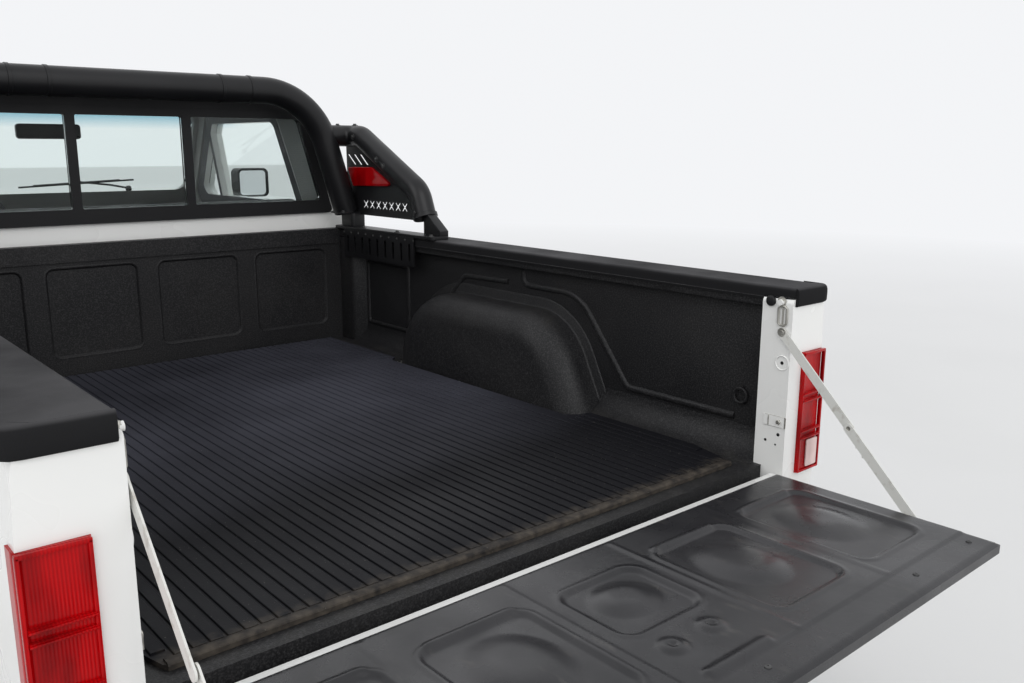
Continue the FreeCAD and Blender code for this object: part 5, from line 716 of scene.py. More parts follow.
def on_wall(ahead, height, rise):
    """A point of the right-hand wall, risen towards the middle; ahead counts from the rear axle."""
    return at(WALL - rise, AXLE + ahead, height)


def make_bed_sides():
    """The walls with their rail flange, cove, posts, wheelhouses, beads and tie rings."""
    house = arced(HOUSE_LINE, 14)
    wall = [(WALL_GAP, WALL_GAP), (WALL_GAP, WALL_TOP), (WALL_END, WALL_TOP), (WALL_END, WALL_GAP)]
    side = Shape().slab("x", WALL, 4, wall + [(AXLE + p.x, p.y) for p in reversed(house)])
    side.slab("y", WALL_GAP, WALL_END - WALL_GAP,
              ((764, FLANGE_FOOT), (766.5, FLANGE_FOOT), (767.5, 391), (767.5, 407.7), (FLANGE, 407.7),
               (FLANGE, WALL_TOP), (766, WALL_TOP), (764, 410)))
    cove = [(801, 0.2), (730, 0.2)] + [(730 + COVE * math.sin(t), 70 - COVE * math.cos(t))
                                       for t in even_angles(10, QUARTER_TURN)]
    for start, end in ((WALL_GAP, AXLE - 505), (AXLE + 408, 1880)):
        side.slab("y", start, end - start, cove)
    post = ((FLANGE, 1846, 0), (WALL, 1846, 0), (756, 1879, 22), (756, WALL_END, 0), (FLANGE, WALL_END, 0))
    side.slab("z", WALL_GAP, WALL_TOP - 0.5, arced(post))
    side.mirrored().make("bed_walls", COATING, replaces="bed_inner_sides", bevel=0.8)
    pressed = Shape()
    profile = [(34, -0.5), (33, 2.2), (30.5, 3.2), (5, 3.2), (1.5, 4.6), (0, 9)]
    profile += [(-SHOULDER * (1 - math.cos(t)), 43 + SHOULDER * math.sin(t)) for t in even_angles(12, QUARTER_TURN)]
    pressed.sweep(house, profile, on_wall)
    width = len(profile)
    pressed.faces.append([k * width + width - 1 for k in range(len(house))])
    for line in (FRONT_BEAD, REAR_BEAD):
        pressed.sweep(arced(line), BEAD_SECTION, on_wall)
    panel = arced(((490, 81, 16), (766, 81, 16), (766, 323, 16), (490, 323, 16)))
    pressed.sweep(panel, [(a * 0.8, rise) for a, rise in BEAD_SECTION], on_wall, True)
    ring = [at(792, 78 + 19 * math.sin(t), 146 + 19 * math.cos(t)) for t in even_angles(24)]
    pressed.tube(ring, 3.5, 8, True)
    pressed.tube([at(WALL, 78, 166), at(790, 78, 166)], 7, 10)
    pressed.box((655, 1474, -3), (WALL, 1538, 0.1))
    pressed.mirrored().make("bed_pressings", COATING, angle=50)
    skirt = Shape().box((755.7, 0.5, 406.5), (759.7, 1970, 417.5))
    skirt.mirrored().make("rail_skirts", CAP_PLASTIC, bevel=0.6)


make_bed_sides()


# The sports bar

BAR_X, HOOP_STATION = 800, 1930
HOOP_FOOT_X, HOOP_FOOT, HOOP_SHOULDER_X, HOOP_TOP, HOOP_BEND, HOOP_RADIUS = 768, 507.3, 629, 953, 257, 47
COLLARS = (-387, -279, 279, 387)
SAIL_TOP, SAIL_KNEE, SAIL_END = 796, (BAR_X, 1478, 600), (BAR_X, 1440, 507)
SAIL_RADIUS, SAIL_THICKNESS = 40, 5
SAIL_EDGE = [(1962, 497), (1966, SAIL_TOP), (1864, SAIL_TOP), (1500, 612), (1470, 585), (1436, 497)]
LAMP_LINE = arced(((1630, 614, 8), (1906, 606, 8), (1944, 678, 8), (1774, 680, 12)), 5)
LAMP_HALF_DEPTH = 14
LOUVRES, LOUVRE_LEAD, LOUVRE_TOP, LOUVRE_FOOT, LOUVRE_WIDTH, LOUVRE_SLANT = 3, 1958, 726, 688, 15, 48
CROSSES, CROSS_LEAD, CROSS_HEIGHT, CROSS_ARM, CROSS_REACH = 7, 1834, 539, 5.6, 17
CUT_PITCH = 44
COMB_X, COMB_REAR, COMB_FRONT, COMB_FOOT, COMB_TOP, COMB_THICKNESS = 748, 1443, 1916, 337, 441, 4
SLOTS, SLOT_HALF, SLOT_FOOT, SLOT_TOP = 9, 7, 353, 419
SLOT_PITCH = (COMB_FRONT - COMB_REAR) / SLOTS
RAIL_TOP, PLATE_TOP, STAND_TOP = 440.3, 451.5, 501


def in_sail(station, height, rise):
    """A point of the right-hand sail, risen outward."""
    return at(BAR_X + rise, station, height)


def in_comb(station, height, rise):
    """A point of the right-hand comb, risen outward."""
    return at(COMB_X + rise, station, height)


def make_hoop():
    """The hoop over the bed with its four collars."""
    corners = [(x, HOOP_STATION, height) for x, height in ((HOOP_FOOT_X, HOOP_FOOT), (HOOP_SHOULDER_X, HOOP_TOP),
                                                           (-HOOP_SHOULDER_X, HOOP_TOP), (-HOOP_FOOT_X, HOOP_FOOT))]
    hoop = Shape().tube([at(*p) for p in pipe_path(corners, (HOOP_BEND, HOOP_BEND), 18)], HOOP_RADIUS, 40)
    collar = [(along, HOOP_RADIUS + rise) for along, rise in ((-6, 0.2), (-5, 2.2), (5, 2.2), (6, 0.2))]
    for x in COLLARS:
        hoop.lathe(collar, at(x, HOOP_STATION, HOOP_TOP), RIGHT, 40)
    hoop.make("hoop_tube", COAT, replaces="bar_hoop")


def sail_cuts():
    """The louvres and crosses cut into each sail."""
    cuts = []
    for i in range(LOUVRES):
        lead = LOUVRE_LEAD - CUT_PITCH * i
        tail = lead - LOUVRE_SLANT
        cuts.append([(lead, LOUVRE_TOP), (lead - LOUVRE_WIDTH, LOUVRE_TOP), (tail - LOUVRE_WIDTH, LOUVRE_FOOT),
                     (tail, LOUVRE_FOOT)])
    arm, reach = CROSS_ARM, CROSS_REACH
    quarter = [(0, arm), (reach - arm, reach), (reach, reach), (reach, reach - arm)]
    cross = quarter + [(b, -a) for a, b in quarter]
    cross += [(-a, -b) for a, b in cross]
    return cuts + [[(CROSS_LEAD - CUT_PITCH * i + a, CROSS_HEIGHT + b) for a, b in cross] for i in range(CROSSES)]


def make_sails():
    """The sails' tubes and cut plates, and the combs that hang below the rails."""
    corners = ((700, HOOP_STATION, SAIL_TOP), (BAR_X, HOOP_STATION, SAIL_TOP), (BAR_X, 1855, 794), SAIL_KNEE,
               SAIL_END)
    side = Shape().tube([at(*p) for p in pipe_path(corners, (50, 85, 85), 12)], SAIL_RADIUS, 36)
    cuff = [(along, SAIL_RADIUS + rise) for along, rise in ((-16, 0.5), (-14, 4.5), (-2, 4.5), (0, 2.5))]
    side.lathe(cuff, at(*SAIL_END), at(*SAIL_END) - at(*SAIL_KNEE), 36)
    side.cut_sheet([SAIL_EDGE] + sail_cuts() + [LAMP_LINE], SAIL_THICKNESS, in_sail)
    comb = [[(COMB_REAR, COMB_FOOT), (COMB_FRONT, COMB_FOOT), (COMB_FRONT, COMB_TOP), (COMB_REAR, COMB_TOP)]]
    for i in range(SLOTS):
        middle = COMB_REAR + (i + 0.5) * SLOT_PITCH
        comb.append(rounded(middle - SLOT_HALF, middle + SLOT_HALF, SLOT_FOOT, SLOT_TOP, SLOT_HALF - 0.2))
    side.cut_sheet(comb, COMB_THICKNESS, in_comb)
    side.mirrored().make("sail_plates", COAT, replaces="bar_sides")


def make_bar_bases():
    """The base plate on each rail, the hoop's stand with its flange and the sail's shoe."""
    base = Shape().slab("z", RAIL_TOP, 11.7, rounded(746, 820, 1326, 1988, 12))
    base.slab("z", PLATE_TOP, 51, rounded(758, 818, 1868, 1961, 14))
    base.slab("z", STAND_TOP, 6, rounded(721, 818, 1880, 1980, 14))
    shoe = ((1331, PLATE_TOP), (1429, PLATE_TOP), (1429, 500), (1452, 512), (1446, 524), (1412, 530), (1331, 470))
    base.slab("x", 782, 36, shoe)
    base.mirrored().make("bar_bases", COAT, bevel=2.2, segments=3)


def make_sail_lamps():
    """The red lamp through each sail, with a rubber rim on both faces."""
    lens = Shape().prism([in_sail(*p, -LAMP_HALF_DEPTH) for p in LAMP_LINE], (2 * LAMP_HALF_DEPTH / 1000, 0, 0))
    lens.mirrored().make("sail_lenses", RED_LENS, replaces="bar_lamps", bevel=3, segments=3, angle=50)
    rim = Shape()
    for way in (1, -1):
        rim.sweep(LAMP_LINE, [(-3, 2.4 * way), (-2, 4.2 * way), (2, 4.2 * way), (3, 2.4 * way)], in_sail, True)
    rim.mirrored().make("sail_lamp_rims", RUBBER)


def make_bar_bolts():
    """Bolts of the sails, stands and base plates, and the combs' screws."""
    bolts = Shape()
    for axis, places in (
        (UP, ((742, HOOP_STATION, 834.5), (BAR_X, 1900, 835))),
        (INWARD, ((759.6, 1850, 791), (759.6, 1690, 709), (759.6, 1646, 686.5), (763, 1450, 528))),
        (UP, ((735, 1898, 507), (735, 1962, 507), (757, 1350, 452), (757, 1560, 452), (757, 1790, 452))),
    ):
        for place in places:
            bolts.bolt(at(*place), axis, 6.2)
    for i in range(SLOTS + 1):
        bolts.screw(at(COMB_X - 2, COMB_REAR + i * SLOT_PITCH, 430), INWARD, 4.5)
    bolts.mirrored().make("bar_bolts", DARK_STEEL, slot="bar_coating")


make_hoop()
make_sails()
make_bar_bases()
make_sail_lamps()
make_bar_bolts()


# Pillars, straps and tail lamps

JAMB, STRAP_FACE = 750, 744.2
LAMP_FACE, LAMP_FOOT, LAMP_TOP, LAMP_INNER, LAMP_OUTER = -89.4, -16, 284, 800.5, 889
PANEL_PITCH, PANEL_HALF, PANEL_FOOT, PANEL_TOP, FRONT_WALL = 362, 146, 69, 363, 1971


def make_cap_ends():
    """The rail caps' ends, folded over the pillars."""
    plan = [(758, -82), (866, -82), (879, -79.5), (885.5, -73), (887.5, -60), (887.5, -20)]
    ends = Shape().sweep(plan, [(-0.2, 440), (-4, 438.6), (-7, 435), (-8.6, 429), (-9, 420), (-8.6, 403), (-6, 398.5),
                                (-3, 397), (-0.2, 397)], at)
    ends.slab("z", 424, 15.8, plan[1:5] + [(887.4, -44), (850, -81.8)])
    ends.mirrored().make("cap_ends", CAP_PLASTIC, angle=50)


def make_pillar_fittings():
    """The rubber bumper, striker, bracket and latch plate of both pillars, and black discs of painted shade for their
    holes.
    """
    rubber = Shape().lathe([(0, 12.5), (4, 12.5), (6.5, 10.5), (7.5, 6), (7.5, 0)], at(JAMB, -23, 406), INWARD, 26)
    metal = Shape().bolt(at(749.8, -52, 408), INWARD, 6)
    metal.lathe([(0, 10.5), (0.8, 10.5)], at(STRAP_FACE, -59, 336), INWARD, 20)
    metal.lathe([(0.6, 6.2), (1.9, 5.4)], at(STRAP_FACE, -59, 336), INWARD, 6)
    metal.bolt(at(749.4, -64, 118), INWARD, 5.5)
    loop = [(-68, 392), (-68, 357), (-63, 352), (-51, 352), (-46, 357), (-46, 392), (-51, 397), (-63, 397)]
    metal.tube([at(746.5, s, h) for s, h in loop], 2.6, 8, True)
    metal.tube([at(747.5, -57, 396), at(747.5, -57, 353)], 1.8, 6)
    plate = Shape().slab("x", 748.2, 1.6, rounded(-83, -22, 104.5, 131.5, 3))
    plate.tube([at(748, -36, 106), at(748, -36, 130)], 1.6, 6)
    # Black discs painted in as the shade inside the pillars' holes.
    holes = Shape()
    for s, h, radius in ((-62, 262, 4.2), (-64, 86, 4.2), (-30, 66, 3.5), (-58, 60, 2.4)):
        holes.lathe([(0, radius), (0.4, radius)], at(749.9, s, h), INWARD, 16)
    ring = [at(749.4, -62 + 17 * math.cos(t), 262 + 17 * math.sin(t)) for t in even_angles(28)]
    boss = Shape().tube(ring, 1.6, 8, True)
    for name, shape, finish in (("pillar_bumpers", rubber, RUBBER), ("pillar_bolts", metal, ZINC),
                                ("latch_plates", plate, ZINC), ("pillar_hole_shades", holes, RUBBER),
                                ("pillar_bosses", boss, PAINT)):
        shape.mirrored().make(name, finish)


def make_panel_edges():
    """The rounded edges of the front wall's four pressed panels."""
    edges = Shape()
    for i in (-1.5, -0.5, 0.5, 1.5):
        middle = PANEL_PITCH * i
        path = rounded(middle - PANEL_HALF, middle + PANEL_HALF, PANEL_FOOT, PANEL_TOP, 26, 7)
        edges.sweep(path, [(5, -6.8), (1.6, -3), (0, -0.2), (-3, 1.4), (-7, -0.1)],
                    lambda x, height, rise: at(x, FRONT_WALL - rise, height), True)
    edges.make("panel_edges", COATING, angle=60)


def make_strap_fittings():
    """The knee rivets, stop tabs and gate bolts of the straps."""
    for side, sign in (("left", -1), ("right", 1)):
        rivet = Shape().lathe([(0, 9.5), (1.2, 9.5), (2.6, 6), (2.6, 0)], at(sign * STRAP_FACE, -246.5, 147.3),
                              (-sign, 0, 0), 22)
        rivet.make("strap_rivet_" + side, ZINC, "strap_top_" + side)
        tabs = Shape()
        for s, h in ((-274, 114), (-290, 96)):
            tabs.box((sign * 738.6, s - 6, h - 7), (sign * 741.4, s + 7, h + 5))
        tabs.make("strap_tabs_" + side, STRAP, "strap_foot_" + side, bevel=1.2)
        head = Shape().bolt(at(sign * 741.8, -422.3, -30), (sign, 0, 0), 5.2)
        head.make("strap_gate_bolt_" + side, ZINC, "tailgate_leaf")


def make_tail_lamps():
    """The clear reversing lens, the rims and the fine ribs of both tail lamps."""
    clear = Shape().slab("y", LAMP_FACE - 1.8, 2.5, rounded(834, 880, LAMP_FOOT + 10, LAMP_FOOT + 78, 4))
    clear.mirrored().make("reversing_lenses", CLEAR_LENS)
    rim = Shape()
    foot, top = LAMP_FOOT, LAMP_TOP
    for x0, x1, low, high in ((LAMP_INNER, LAMP_OUTER, top - 7, top - 0.5),
                              (LAMP_INNER, LAMP_OUTER, foot + 0.5, foot + 6),
                              (LAMP_INNER, 806, foot + 3, top - 3), (884, LAMP_OUTER + 0.5, foot + 3, top - 3)):
        rim.box((x0, LAMP_FACE - 3, low), (x1, LAMP_FACE + 6, high))
    for share in (0.37, 0.68):
        for step in (-9, 9):
            height = top - share * (top - foot) + step
            rim.box((803, LAMP_FACE - 6.8, height - 1.6), (884, LAMP_FACE + 2, height + 1.6))
    rim.mirrored().make("lamp_rims", RED_LENS, bevel=1.2)


make_cap_ends()
make_pillar_fittings()
make_panel_edges()
make_strap_fittings()
make_tail_lamps()


# Outside details

OUTER_REACH = 1300
FRONT_AXLE = 3910
ARCH_RADIUS, HUB_HEIGHT = 431, -300
DOOR_CARD, FRONT_FACE = 832, 4531


def skin(name, station, height, way=1):
    """The outermost point of a CAD node on the right side, or on the left with way -1."""
    hit, place, _, _ = NODES[name].ray_cast(at(way * OUTER_REACH, station, height), Vector((-way, 0, 0)))
    return place if hit else None


def skin_line(name, places, out):
    """Points on the right side of a node, moved outward."""
    found = [skin(name, station, height) for station, height in places]
    return [p + Vector((out / 1000, 0, 0)) for p in found if p is not None]


def make_arch_lips():
    for name, node, station in (("rear_arch_lips", "bed_outer_sides", AXLE),
                                ("front_arch_lips", "front_fenders", FRONT_AXLE)):
        places = [(station + ARCH_RADIUS * math.cos(t), HUB_HEIGHT + ARCH_RADIUS * math.sin(t))
                  for t in (math.radians(16 + 148 * i / 40) for i in range(41))]
        Shape().tube(skin_line(node, places, -1), 5.5, 10).mirrored().make(name, PAINT)


def make_cab_trim():
    """A black band of painted shade on the cab's back above the rear window, the drip rails, the fuel door and the
    side markers.
    """
    # Painted shade: a black rubber band over the white cab back, where it lies in shade under the hoop tube.
    band = Shape().slab("y", 2025.5, 12, ((-662, 884), (662, 884), (655, 912), (646, 918), (-646, 918), (-655, 912)))
    band.make("painted_shade_band", RUBBER, slot="window_rubber", bevel=3)
    roof_edge = [(2120 + 40 * i, 905 - 2 * max(0, i - 14)) for i in range(20)]
    Shape().tube(skin_line("cab_shell", roof_edge, 2), 5, 10).mirrored().make("drip_rails", PAINT)
    seam = Vector((0.0012, 0, 0))
    plate = [skin("bed_outer_sides", s, h, -1) - seam for s, h in rounded(1655, 1805, 180, 310, 12)]
    Shape().prism(plate, (0.003, 0, 0)).make("fuel_door", PAINT, bevel=0.9)
    Shape().tube([p + seam for p in plate], 1.3, 6, True).make("fuel_door_seal", RUBBER)
    marker = Shape().slab("x", 892, -30, rounded(4370, 4450, 120, 152, 7))
    marker.mirrored().make("side_markers", AMBER_LENS, bevel=2)


def make_door_trim(side):
    """Handle, lock, seals, mirror glass, armrest and window crank, shaped for the right door."""
    def make(shape, name, finish, **settings):
        placed = shape if side == "right" else shape.other_side()
        placed.make("%s_%s" % (name, side), finish, "door_leaf_" + side, **settings)

    face = skin("door_right", 2380, 300).x * 1000
    handle = Shape().box((face - 13, 2312, 334), (face - 1, 2444, 366))
    make(handle, "door_handle", TRIM_PLASTIC, bevel=4.5, segments=3)
    make(Shape().lathe([(-4, 11.5), (2, 11.5), (3, 9.5), (3, 4), (1.5, 3)], at(face, 2266, 338), RIGHT, 24),
         "door_lock", ZINC)
    belt = skin_line("door_right", [(2250 + 44 * i, 519) for i in range(21)], 1)
    make(Shape().tube(belt, 4.5, 8), "door_belt_seal", RUBBER, slot="window_rubber")
    rub = skin_line("door_right", [(2236 + 44 * i, 150) for i in range(25)], 0)
    make(Shape().tube(rub, 9, 10), "door_rub_strip", RUBBER)
    make(Shape().slab("y", 3104.6, 1.3, rounded(869, 1004, 519, 638, 18, 7)), "mirror_glass", MIRROR)
    pull = ((0, 2420), (45, 2450), (58, 2520), (58, 2840), (45, 2900), (0, 2930))
    make(Shape().slab("z", 300, 45, [(DOOR_CARD - d, s) for d, s in pull]), "door_armrest", CARD_VINYL, bevel=8,
         segments=3)
    crank = Shape().lathe([(0, 20), (12, 18), (14, 0)], at(DOOR_CARD + 4, 2985, 240), INWARD, 20)
    crank.tube([at(DOOR_CARD - 12, 2985, 240), at(DOOR_CARD - 20, 3050, 205)], 6, 10)
    crank.lathe([(0, 11), (4, 13), (22, 13), (26, 10)], at(DOOR_CARD - 18, 3050, 205), INWARD, 18)
    make(crank, "window_crank", TRIM_PLASTIC)


def on_glass(x, height, lift):
    """A point of the windscreen, lifted off it."""
    _, place, normal, _ = NODES["cab_glass"].ray_cast(at(x, 4200, height), Vector((0, -1, 0)))
    return place + normal * (lift / 1000)


def make_front_details():
    """The lamp glasses and rims, and the wipers."""
    for name, x0, x1, finish in (("turn_lenses", 702, 786, AMBER_LENS),
                                 ("headlamp_glasses", 478, 690, HEADLAMP_LENS)):
        lens = Shape().slab("y", FRONT_FACE - 3, 8, rounded(x0, x1, 88, 287, 10))
        lens.mirrored().make(name, finish, bevel=3.5, segments=3)
    ring = Shape()
    for x0, x1 in ((696, 790), (472, 696)):
        ring.sweep(rounded(x0, x1, 82, 293, 12), [(-6.5, -2), (-6, 5), (-3, 7.5), (3, 7.5), (6, 5), (6.5, -2)],
                   lambda x, height, rise: at(x, FRONT_FACE - 1 + rise, height), True)
    ring.mirrored().make("headlamp_rims", TRIM_PLASTIC)
    wipers = Shape()
    for start, end, foot in ((-640, -140, -150), (-60, 440, 430)):
        blade = [on_glass(start + (end - start) * i / 8, 566 + 26 * i / 8, 6) for i in range(9)]
        wipers.tube(blade, 4.2, 8)
        wipers.tube([p + Vector((0, 0.004, 0.004)) for p in blade[1:-1]], 3.2, 8)
        middle = blade[4] + Vector((0, 0.01, 0.008))
        pivot = on_glass(foot, 549, 9)
        wipers.tube([pivot, pivot.lerp(middle, 0.35) + Vector((0, 0.006, 0.004)), middle], 4.8, 8)
        wipers.lathe([(-12, 14), (4, 14), (8, 9)], pivot, (0, 0.6, 0.8), 18)
    wipers.make("wipers", TRIM_PLASTIC)


TREAD_PITCH, TREAD_BLOCKS, TREAD_RADIUS = 59.3, 36, 340
SIDEWALL = ((82, 336), (88, 328), (91.5, 316), (92.5, 300), (93.2, 296), (94.2, 280), (94.6, 262), (94.9, 258),
            (94.2, 254), (93.8, 240), (90, 222), (84, 208), (75, 201), (69, 200), (68.7, 190.5))


def tread_depth(x, along):
    """Depth of the tread's grooves, across the tyre and along its turn."""
    width = abs(x)
    if 16 < width < 24 or 50 < width < 57:
        return 7.5
    if width <= 16:
        return 0
    shift = TREAD_PITCH / 2 if width < 50 else 0
    return 6.5 if (along + shift + 0.16 * x) % TREAD_PITCH < 7 else 0


def tyre_shape():
    """A treaded tyre about its own middle, with ribbed sidewalls."""
    across = [-80, -74, -66, -57.8, -57, -50, -49.2, -36, -24.8, -24, -16, -15.2, 0]
    across += [-a for a in reversed(across[:-1])]
    steps = [0, 0.5, 7, 7.5, 15, 22, 29.65, 30.15, 36.65, 37.15, 45, 52]
    section = [(-x, r, False) for x, r in reversed(SIDEWALL)] + [(x, TREAD_RADIUS, True) for x in across]
    section += [(x, r, False) for x, r in SIDEWALL]
    tyre = Shape()
    rings = TREAD_BLOCKS * len(steps)
    for k in range(rings):
        along = TREAD_PITCH * (k // len(steps)) + steps[k % len(steps)]
        angle = FULL_TURN * along / (TREAD_BLOCKS * TREAD_PITCH)
        for x, radius, tread in section:
            if tread:
                radius -= 2.2 * (x / 80) ** 2 + tread_depth(x, along)
            elif 330 < radius < 338 and along % TREAD_PITCH < 7:
                radius -= 5
            tyre.vertices.append(Vector((x, math.cos(angle) * radius, math.sin(angle) * radius)) / 1000)
    tyre.faces = grid_faces(rings, len(section), True, True)
    return tyre


def make_wheels():
    """Treaded tyres, wheel nuts, caps and valves."""
    tyre = tyre_shape()
    fittings = Shape()
    for i in range(6):
        turn = math.radians(60 * i + 15)
        fittings.lathe([(0, 12.5), (2, 12.5), (2, 10.5), (13, 10.5), (16, 8)],
                       (0.0215, 0.062 * math.cos(turn), 0.062 * math.sin(turn)), RIGHT, 6)
    fittings.lathe([(74, 40.5), (76.5, 39.5), (77.5, 34), (76.5, 30), (78.5, 20), (78.5, 0)], (0, 0, 0), RIGHT, 36)
    fittings.lathe([(0, 4), (30, 4), (31, 5.5), (42, 5.5), (44, 3)], (0.03, 0, -0.158), RIGHT, 12)
    for end, station in (("front", FRONT_AXLE), ("rear", AXLE)):
        centre = at(788, station, HUB_HEIGHT)
        for side in ("right", "left"):
            corner = "%s_%s" % (end, side)
            for shape, name, settings in (
                (tyre, "treaded_tyre_", {"finish": TYRE, "replaces": "tyre_" + corner}),
                (fittings, "wheel_fittings_", {"finish": ZINC, "slot": "wheel_paint"}),
            ):
                moved = shape.moved(centre) if side == "right" else shape.moved(centre).other_side()
                moved.make(name + corner, body="wheel_body_" + corner, angle=40, **settings)


make_arch_lips()
make_cab_trim()
make_door_trim("right")
make_door_trim("left")
make_front_details()
make_wheels()


# Inside the cab

SEAT_HALF, SEAT_FILL = 0.684, 0.7
DASH_STATION, DIAL_HEIGHT, LEVER_STATION, CAB_FLOOR = 3040, 400, 2900, -64


def pad_shape(half, radius, counts, crown, grooves):
    """A crowned cushion in metres about its own middle: x across, y along, z up, with sewn grooves in its top."""
    work = bmesh.new()
    bmesh.ops.create_cube(work, size=2)
    for k in range(3):
        edges = [e for e in work.edges if max(range(3), key=lambda n: abs((e.verts[1].co - e.verts[0].co)[n])) == k]
        bmesh.ops.subdivide_edges(work, edges=edges, cuts=counts[k], use_grid_fill=True)
    for vertex in work.verts:
        u, v, w = vertex.co
        point = Vector((u * half[0], v * half[1], w * half[2]))
        core = Vector([min(max(p, radius - h), h - radius) for p, h in zip(point, half)])
        away = point - core
        if away.length > 0:
            point = core + away.normalized() * min(away.length, radius)
        top = ease(w * 0.5 + 0.5)
        swell = crown * (1 - u ** 4) * (1 - v * v) * top
        for line, depth, reach in grooves:
            swell -= depth * math.exp(-((point.x - line) / reach) ** 2) * top * (1 - 0.5 * v ** 8)
        point.z += swell - 0.004 * (1 - top) * (1 - w)
        point.y += 0.006 * math.copysign(1, v) * abs(v) ** 6 * (1 - w * w)
        vertex.co = point
    work.verts.ensure_lookup_table()
    made = Shape([v.co.copy() for v in work.verts], [[v.index for v in f.verts] for f in work.faces])
    work.free()
    return made


def make_seat():
    """The bench's cushion and backrest, sewn in channels."""
    grooves = [(x, 0.016, 0.01) for x in (-0.235, 0.235)]
    grooves += [(x, 0.007, 0.012) for x in (-0.56, -0.46, -0.36, 0.36, 0.46, 0.56)]
    cushion = pad_shape((SEAT_HALF, 0.212, 0.074), 0.05, (110, 36, 14), 0.012, grooves).moved(at(0, 2386, 216))
    cushion.make("seat_cushion", CLOTH, replaces="bench_seat", angle=70)
    rest = pad_shape((SEAT_HALF, 0.168, 0.046), 0.04, (110, 30, 12), 0.01, grooves)
    turn = Matrix.Rotation(math.radians(97), 3, "X")
    rest.vertices = [Vector((v.x, *(turn @ Vector((0, v.y, -v.z))).yz)) for v in rest.vertices]
    rest.moved(at(0, 2175, 377)).make("seat_backrest", CLOTH, angle=70)


def make_dash_details():
    """The instrument hood and dials, vents, radio plate, pedals and gear lever."""
    y = DASH_STATION
    face = Shape().slab("y", y, 30, rounded(-515, -215, 352, 446, 16))
    face.slab("y", y, 30, rounded(-95, 95, 352, 428, 6))
    for x in (-650, -150, 150, 640):
        for k in range(5):
            low = 372 + 11 * k
            face.box((x - 38, y - 1, low), (x + 38, y + 12, low + 4))
    face.make("dash_panels", TRIM_PLASTIC, slot="dash_plastic", bevel=1.2)
    dials = Shape()
    for x, radius in ((-430, 36), (-340, 36), (-268, 20)):
        dials.lathe([(0, radius), (3, radius), (3, radius - 3), (1.5, radius - 4), (1.5, 4), (3, 3)],
                    at(x, y - 0.5, DIAL_HEIGHT), (0, -1, 0), 36)
        for k in range(11):
            turn = math.radians(215 - 25 * k)
            way = Vector((math.cos(turn), 0, math.sin(turn))) * (radius / 1000)
            start = at(x, y - 2.2, DIAL_HEIGHT)
            dials.tube([start + way * 0.7, start + way * 0.86], 0.8, 6)
    dials.make("dials", HEADLINER)
    floor = CAB_FLOOR
    pedals = Shape()
    for x, half in ((-470, 26), (-372, 30), (-262, 20)):
        pedals.slab("x", x - half, 2 * half, ((3300, floor + 70), (3304, floor + 64), (3344, floor + 128),
                                              (3339, floor + 133)))
        pedals.tube([at(x, 3324, floor + 98), at(x, 3390, floor + 150), at(x, 3400, 170)], 7, 10)
    pedals.make("pedals", DARK_STEEL, bevel=1.5)
    lever = Shape().lathe([(0, 75), (12, 70), (20, 52), (45, 45), (52, 30), (85, 22), (92, 12)],
                          at(0, LEVER_STATION, floor - 1), UP, 28)
    lever.tube([at(0, LEVER_STATION, floor + 70), at(0, 2888, 150), at(0, 2850, 262)], 6.5, 12)
    lever.lathe([(-24, 10), (-16, 20), (0, 25), (14, 21), (22, 10), (24, 0)], at(0, 2846, 276), (0, -0.3, 1), 24)
    lever.make("gear_lever", RUBBER)


make_seat()
make_dash_details()


# Camera, floor and light

CAMERA_PLACE = (-1.0971, -3.2493, 1.3994)
YAW, PITCH, ROLL = (math.radians(angle) for angle in (40.754, 12.074, 0.170))
FOCAL_PIXELS, PICTURE_WIDTH, SENSOR = 913.57, 1024, 36
BACKDROP = (0.9, 0.91, 0.93, 1)
SOFT_SKY = (0.98, 0.99, 1, 1)
SOFTBOXES = (
    # place, size, power
    ((-3.3, -12, 9), 10, 580),
    ((-13.2, 2.2, 9), 10, 400),
    ((6.6, 13.2, 12.1), 11, 120),
)
FLOOR_REACH = 60


def set_camera():
    forward = Vector((math.sin(YAW) * math.cos(PITCH), math.cos(YAW) * math.cos(PITCH), -math.sin(PITCH)))
    right = Vector((math.cos(YAW), -math.sin(YAW), 0))
    up = right.cross(forward)
    right, up = right * math.cos(ROLL) + up * math.sin(ROLL), up * math.cos(ROLL) - right * math.sin(ROLL)
    data = bpy.data.cameras.new("camera")
    data.sensor_width = SENSOR
    data.lens = SENSOR * FOCAL_PIXELS / PICTURE_WIDTH
    data.clip_start = 0.05
    camera = add_object("camera", data)
    camera.matrix_world = Matrix.Translation(CAMERA_PLACE) @ Matrix((right, up, -forward)).transposed().to_4x4()
    bpy.context.scene.camera = camera


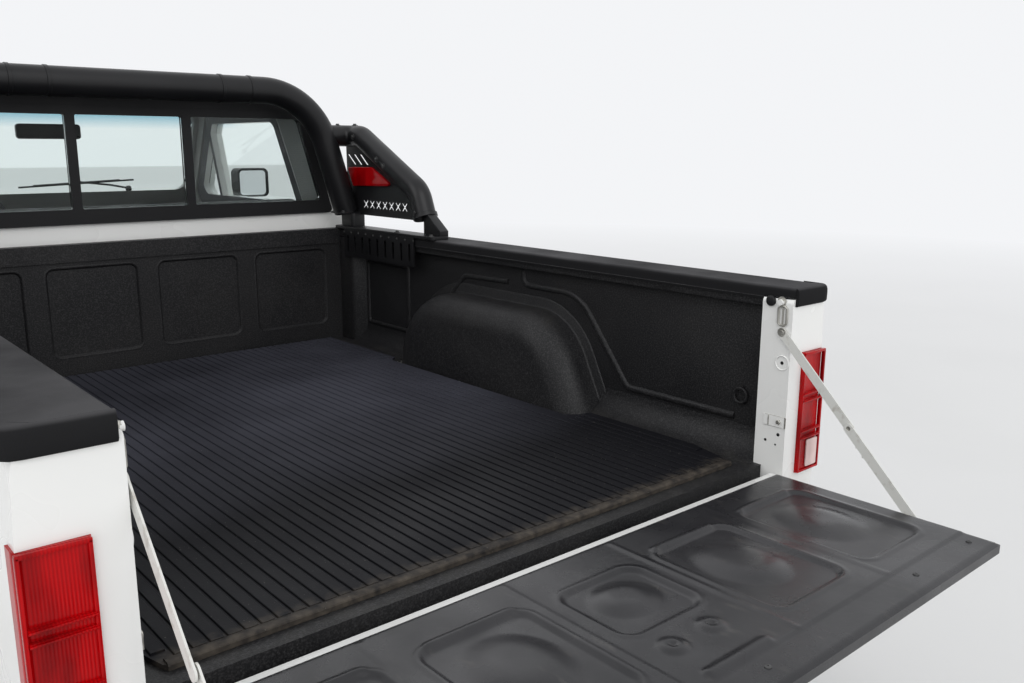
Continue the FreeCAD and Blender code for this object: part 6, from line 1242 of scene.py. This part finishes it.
def set_sky():
    """Soft light from all around, and a backdrop that the camera, reflections and the glass see."""
    world = bpy.data.worlds.new("studio")
    world.use_nodes = True
    bpy.context.scene.world = world
    tree = world.node_tree
    soft = tree.nodes["Background"]
    soft.inputs["Color"].default_value = SOFT_SKY
    soft.inputs["Strength"].default_value = 0.92
    seen = add_node(tree, "Background", {"Color": BACKDROP, "Strength": 1})
    rays = add_node(tree, "LightPath", {}).outputs
    share = rays["Is Camera Ray"]
    for ray in ("Is Glossy Ray", "Is Transmission Ray"):
        share = add_node(tree, "Math", {0: share, 1: rays[ray]}, operation="MAXIMUM").outputs[0]
    mix = add_node(tree, "MixShader", {0: share, 1: soft.outputs[0], 2: seen.outputs[0]})
    tree.links.new(mix.outputs[0], tree.nodes["World Output"].inputs["Surface"])


def set_lamps():
    for place, size, power in SOFTBOXES:
        data = bpy.data.lights.new("softbox", "AREA")
        data.size = size
        data.energy = power
        lamp = add_object("softbox", data)
        lamp.location = place
        lamp.rotation_euler = (Vector((0, 0, 0.7)) - Vector(place)).to_track_quat("-Z", "Y").to_euler()


def make_floor():
    """A pale floor that fades into the backdrop."""
    finish = Finish("studio_floor", (0.7, 0.7, 0.7), 0.75)
    finish.tint((0.66, 0.66, 0.66), (0.8, 4), 0.4, 0.7, 0.5)
    far = finish.node("VectorMath", {0: finish.place}, operation="LENGTH").outputs["Value"]
    fade = finish.times(finish.remap(far, 4, 14), finish.node("LightPath", {}).outputs["Is Camera Ray"])
    glow = finish.node("Emission", {"Color": BACKDROP, "Strength": 1})
    blend = finish.node("MixShader", {0: fade, 1: finish.shader.outputs[0], 2: glow.outputs[0]})
    finish.tree.links.new(blend.outputs[0], finish.tree.nodes["Material Output"].inputs["Surface"])
    mesh = bpy.data.meshes.new("studio_floor")
    corners = [(x * FLOOR_REACH, y * FLOOR_REACH, 0) for x, y in ((-1, -1), (1, -1), (1, 1), (-1, 1))]
    mesh.from_pydata(corners, [], [[0, 1, 2, 3]])
    mesh.materials.append(finish.material)
    add_object("studio_floor", mesh)


set_camera()
set_sky()
set_lamps()
make_floor()
bpy.context.scene.view_settings.view_transform = "Standard"

bpy.context.view_layer.update()
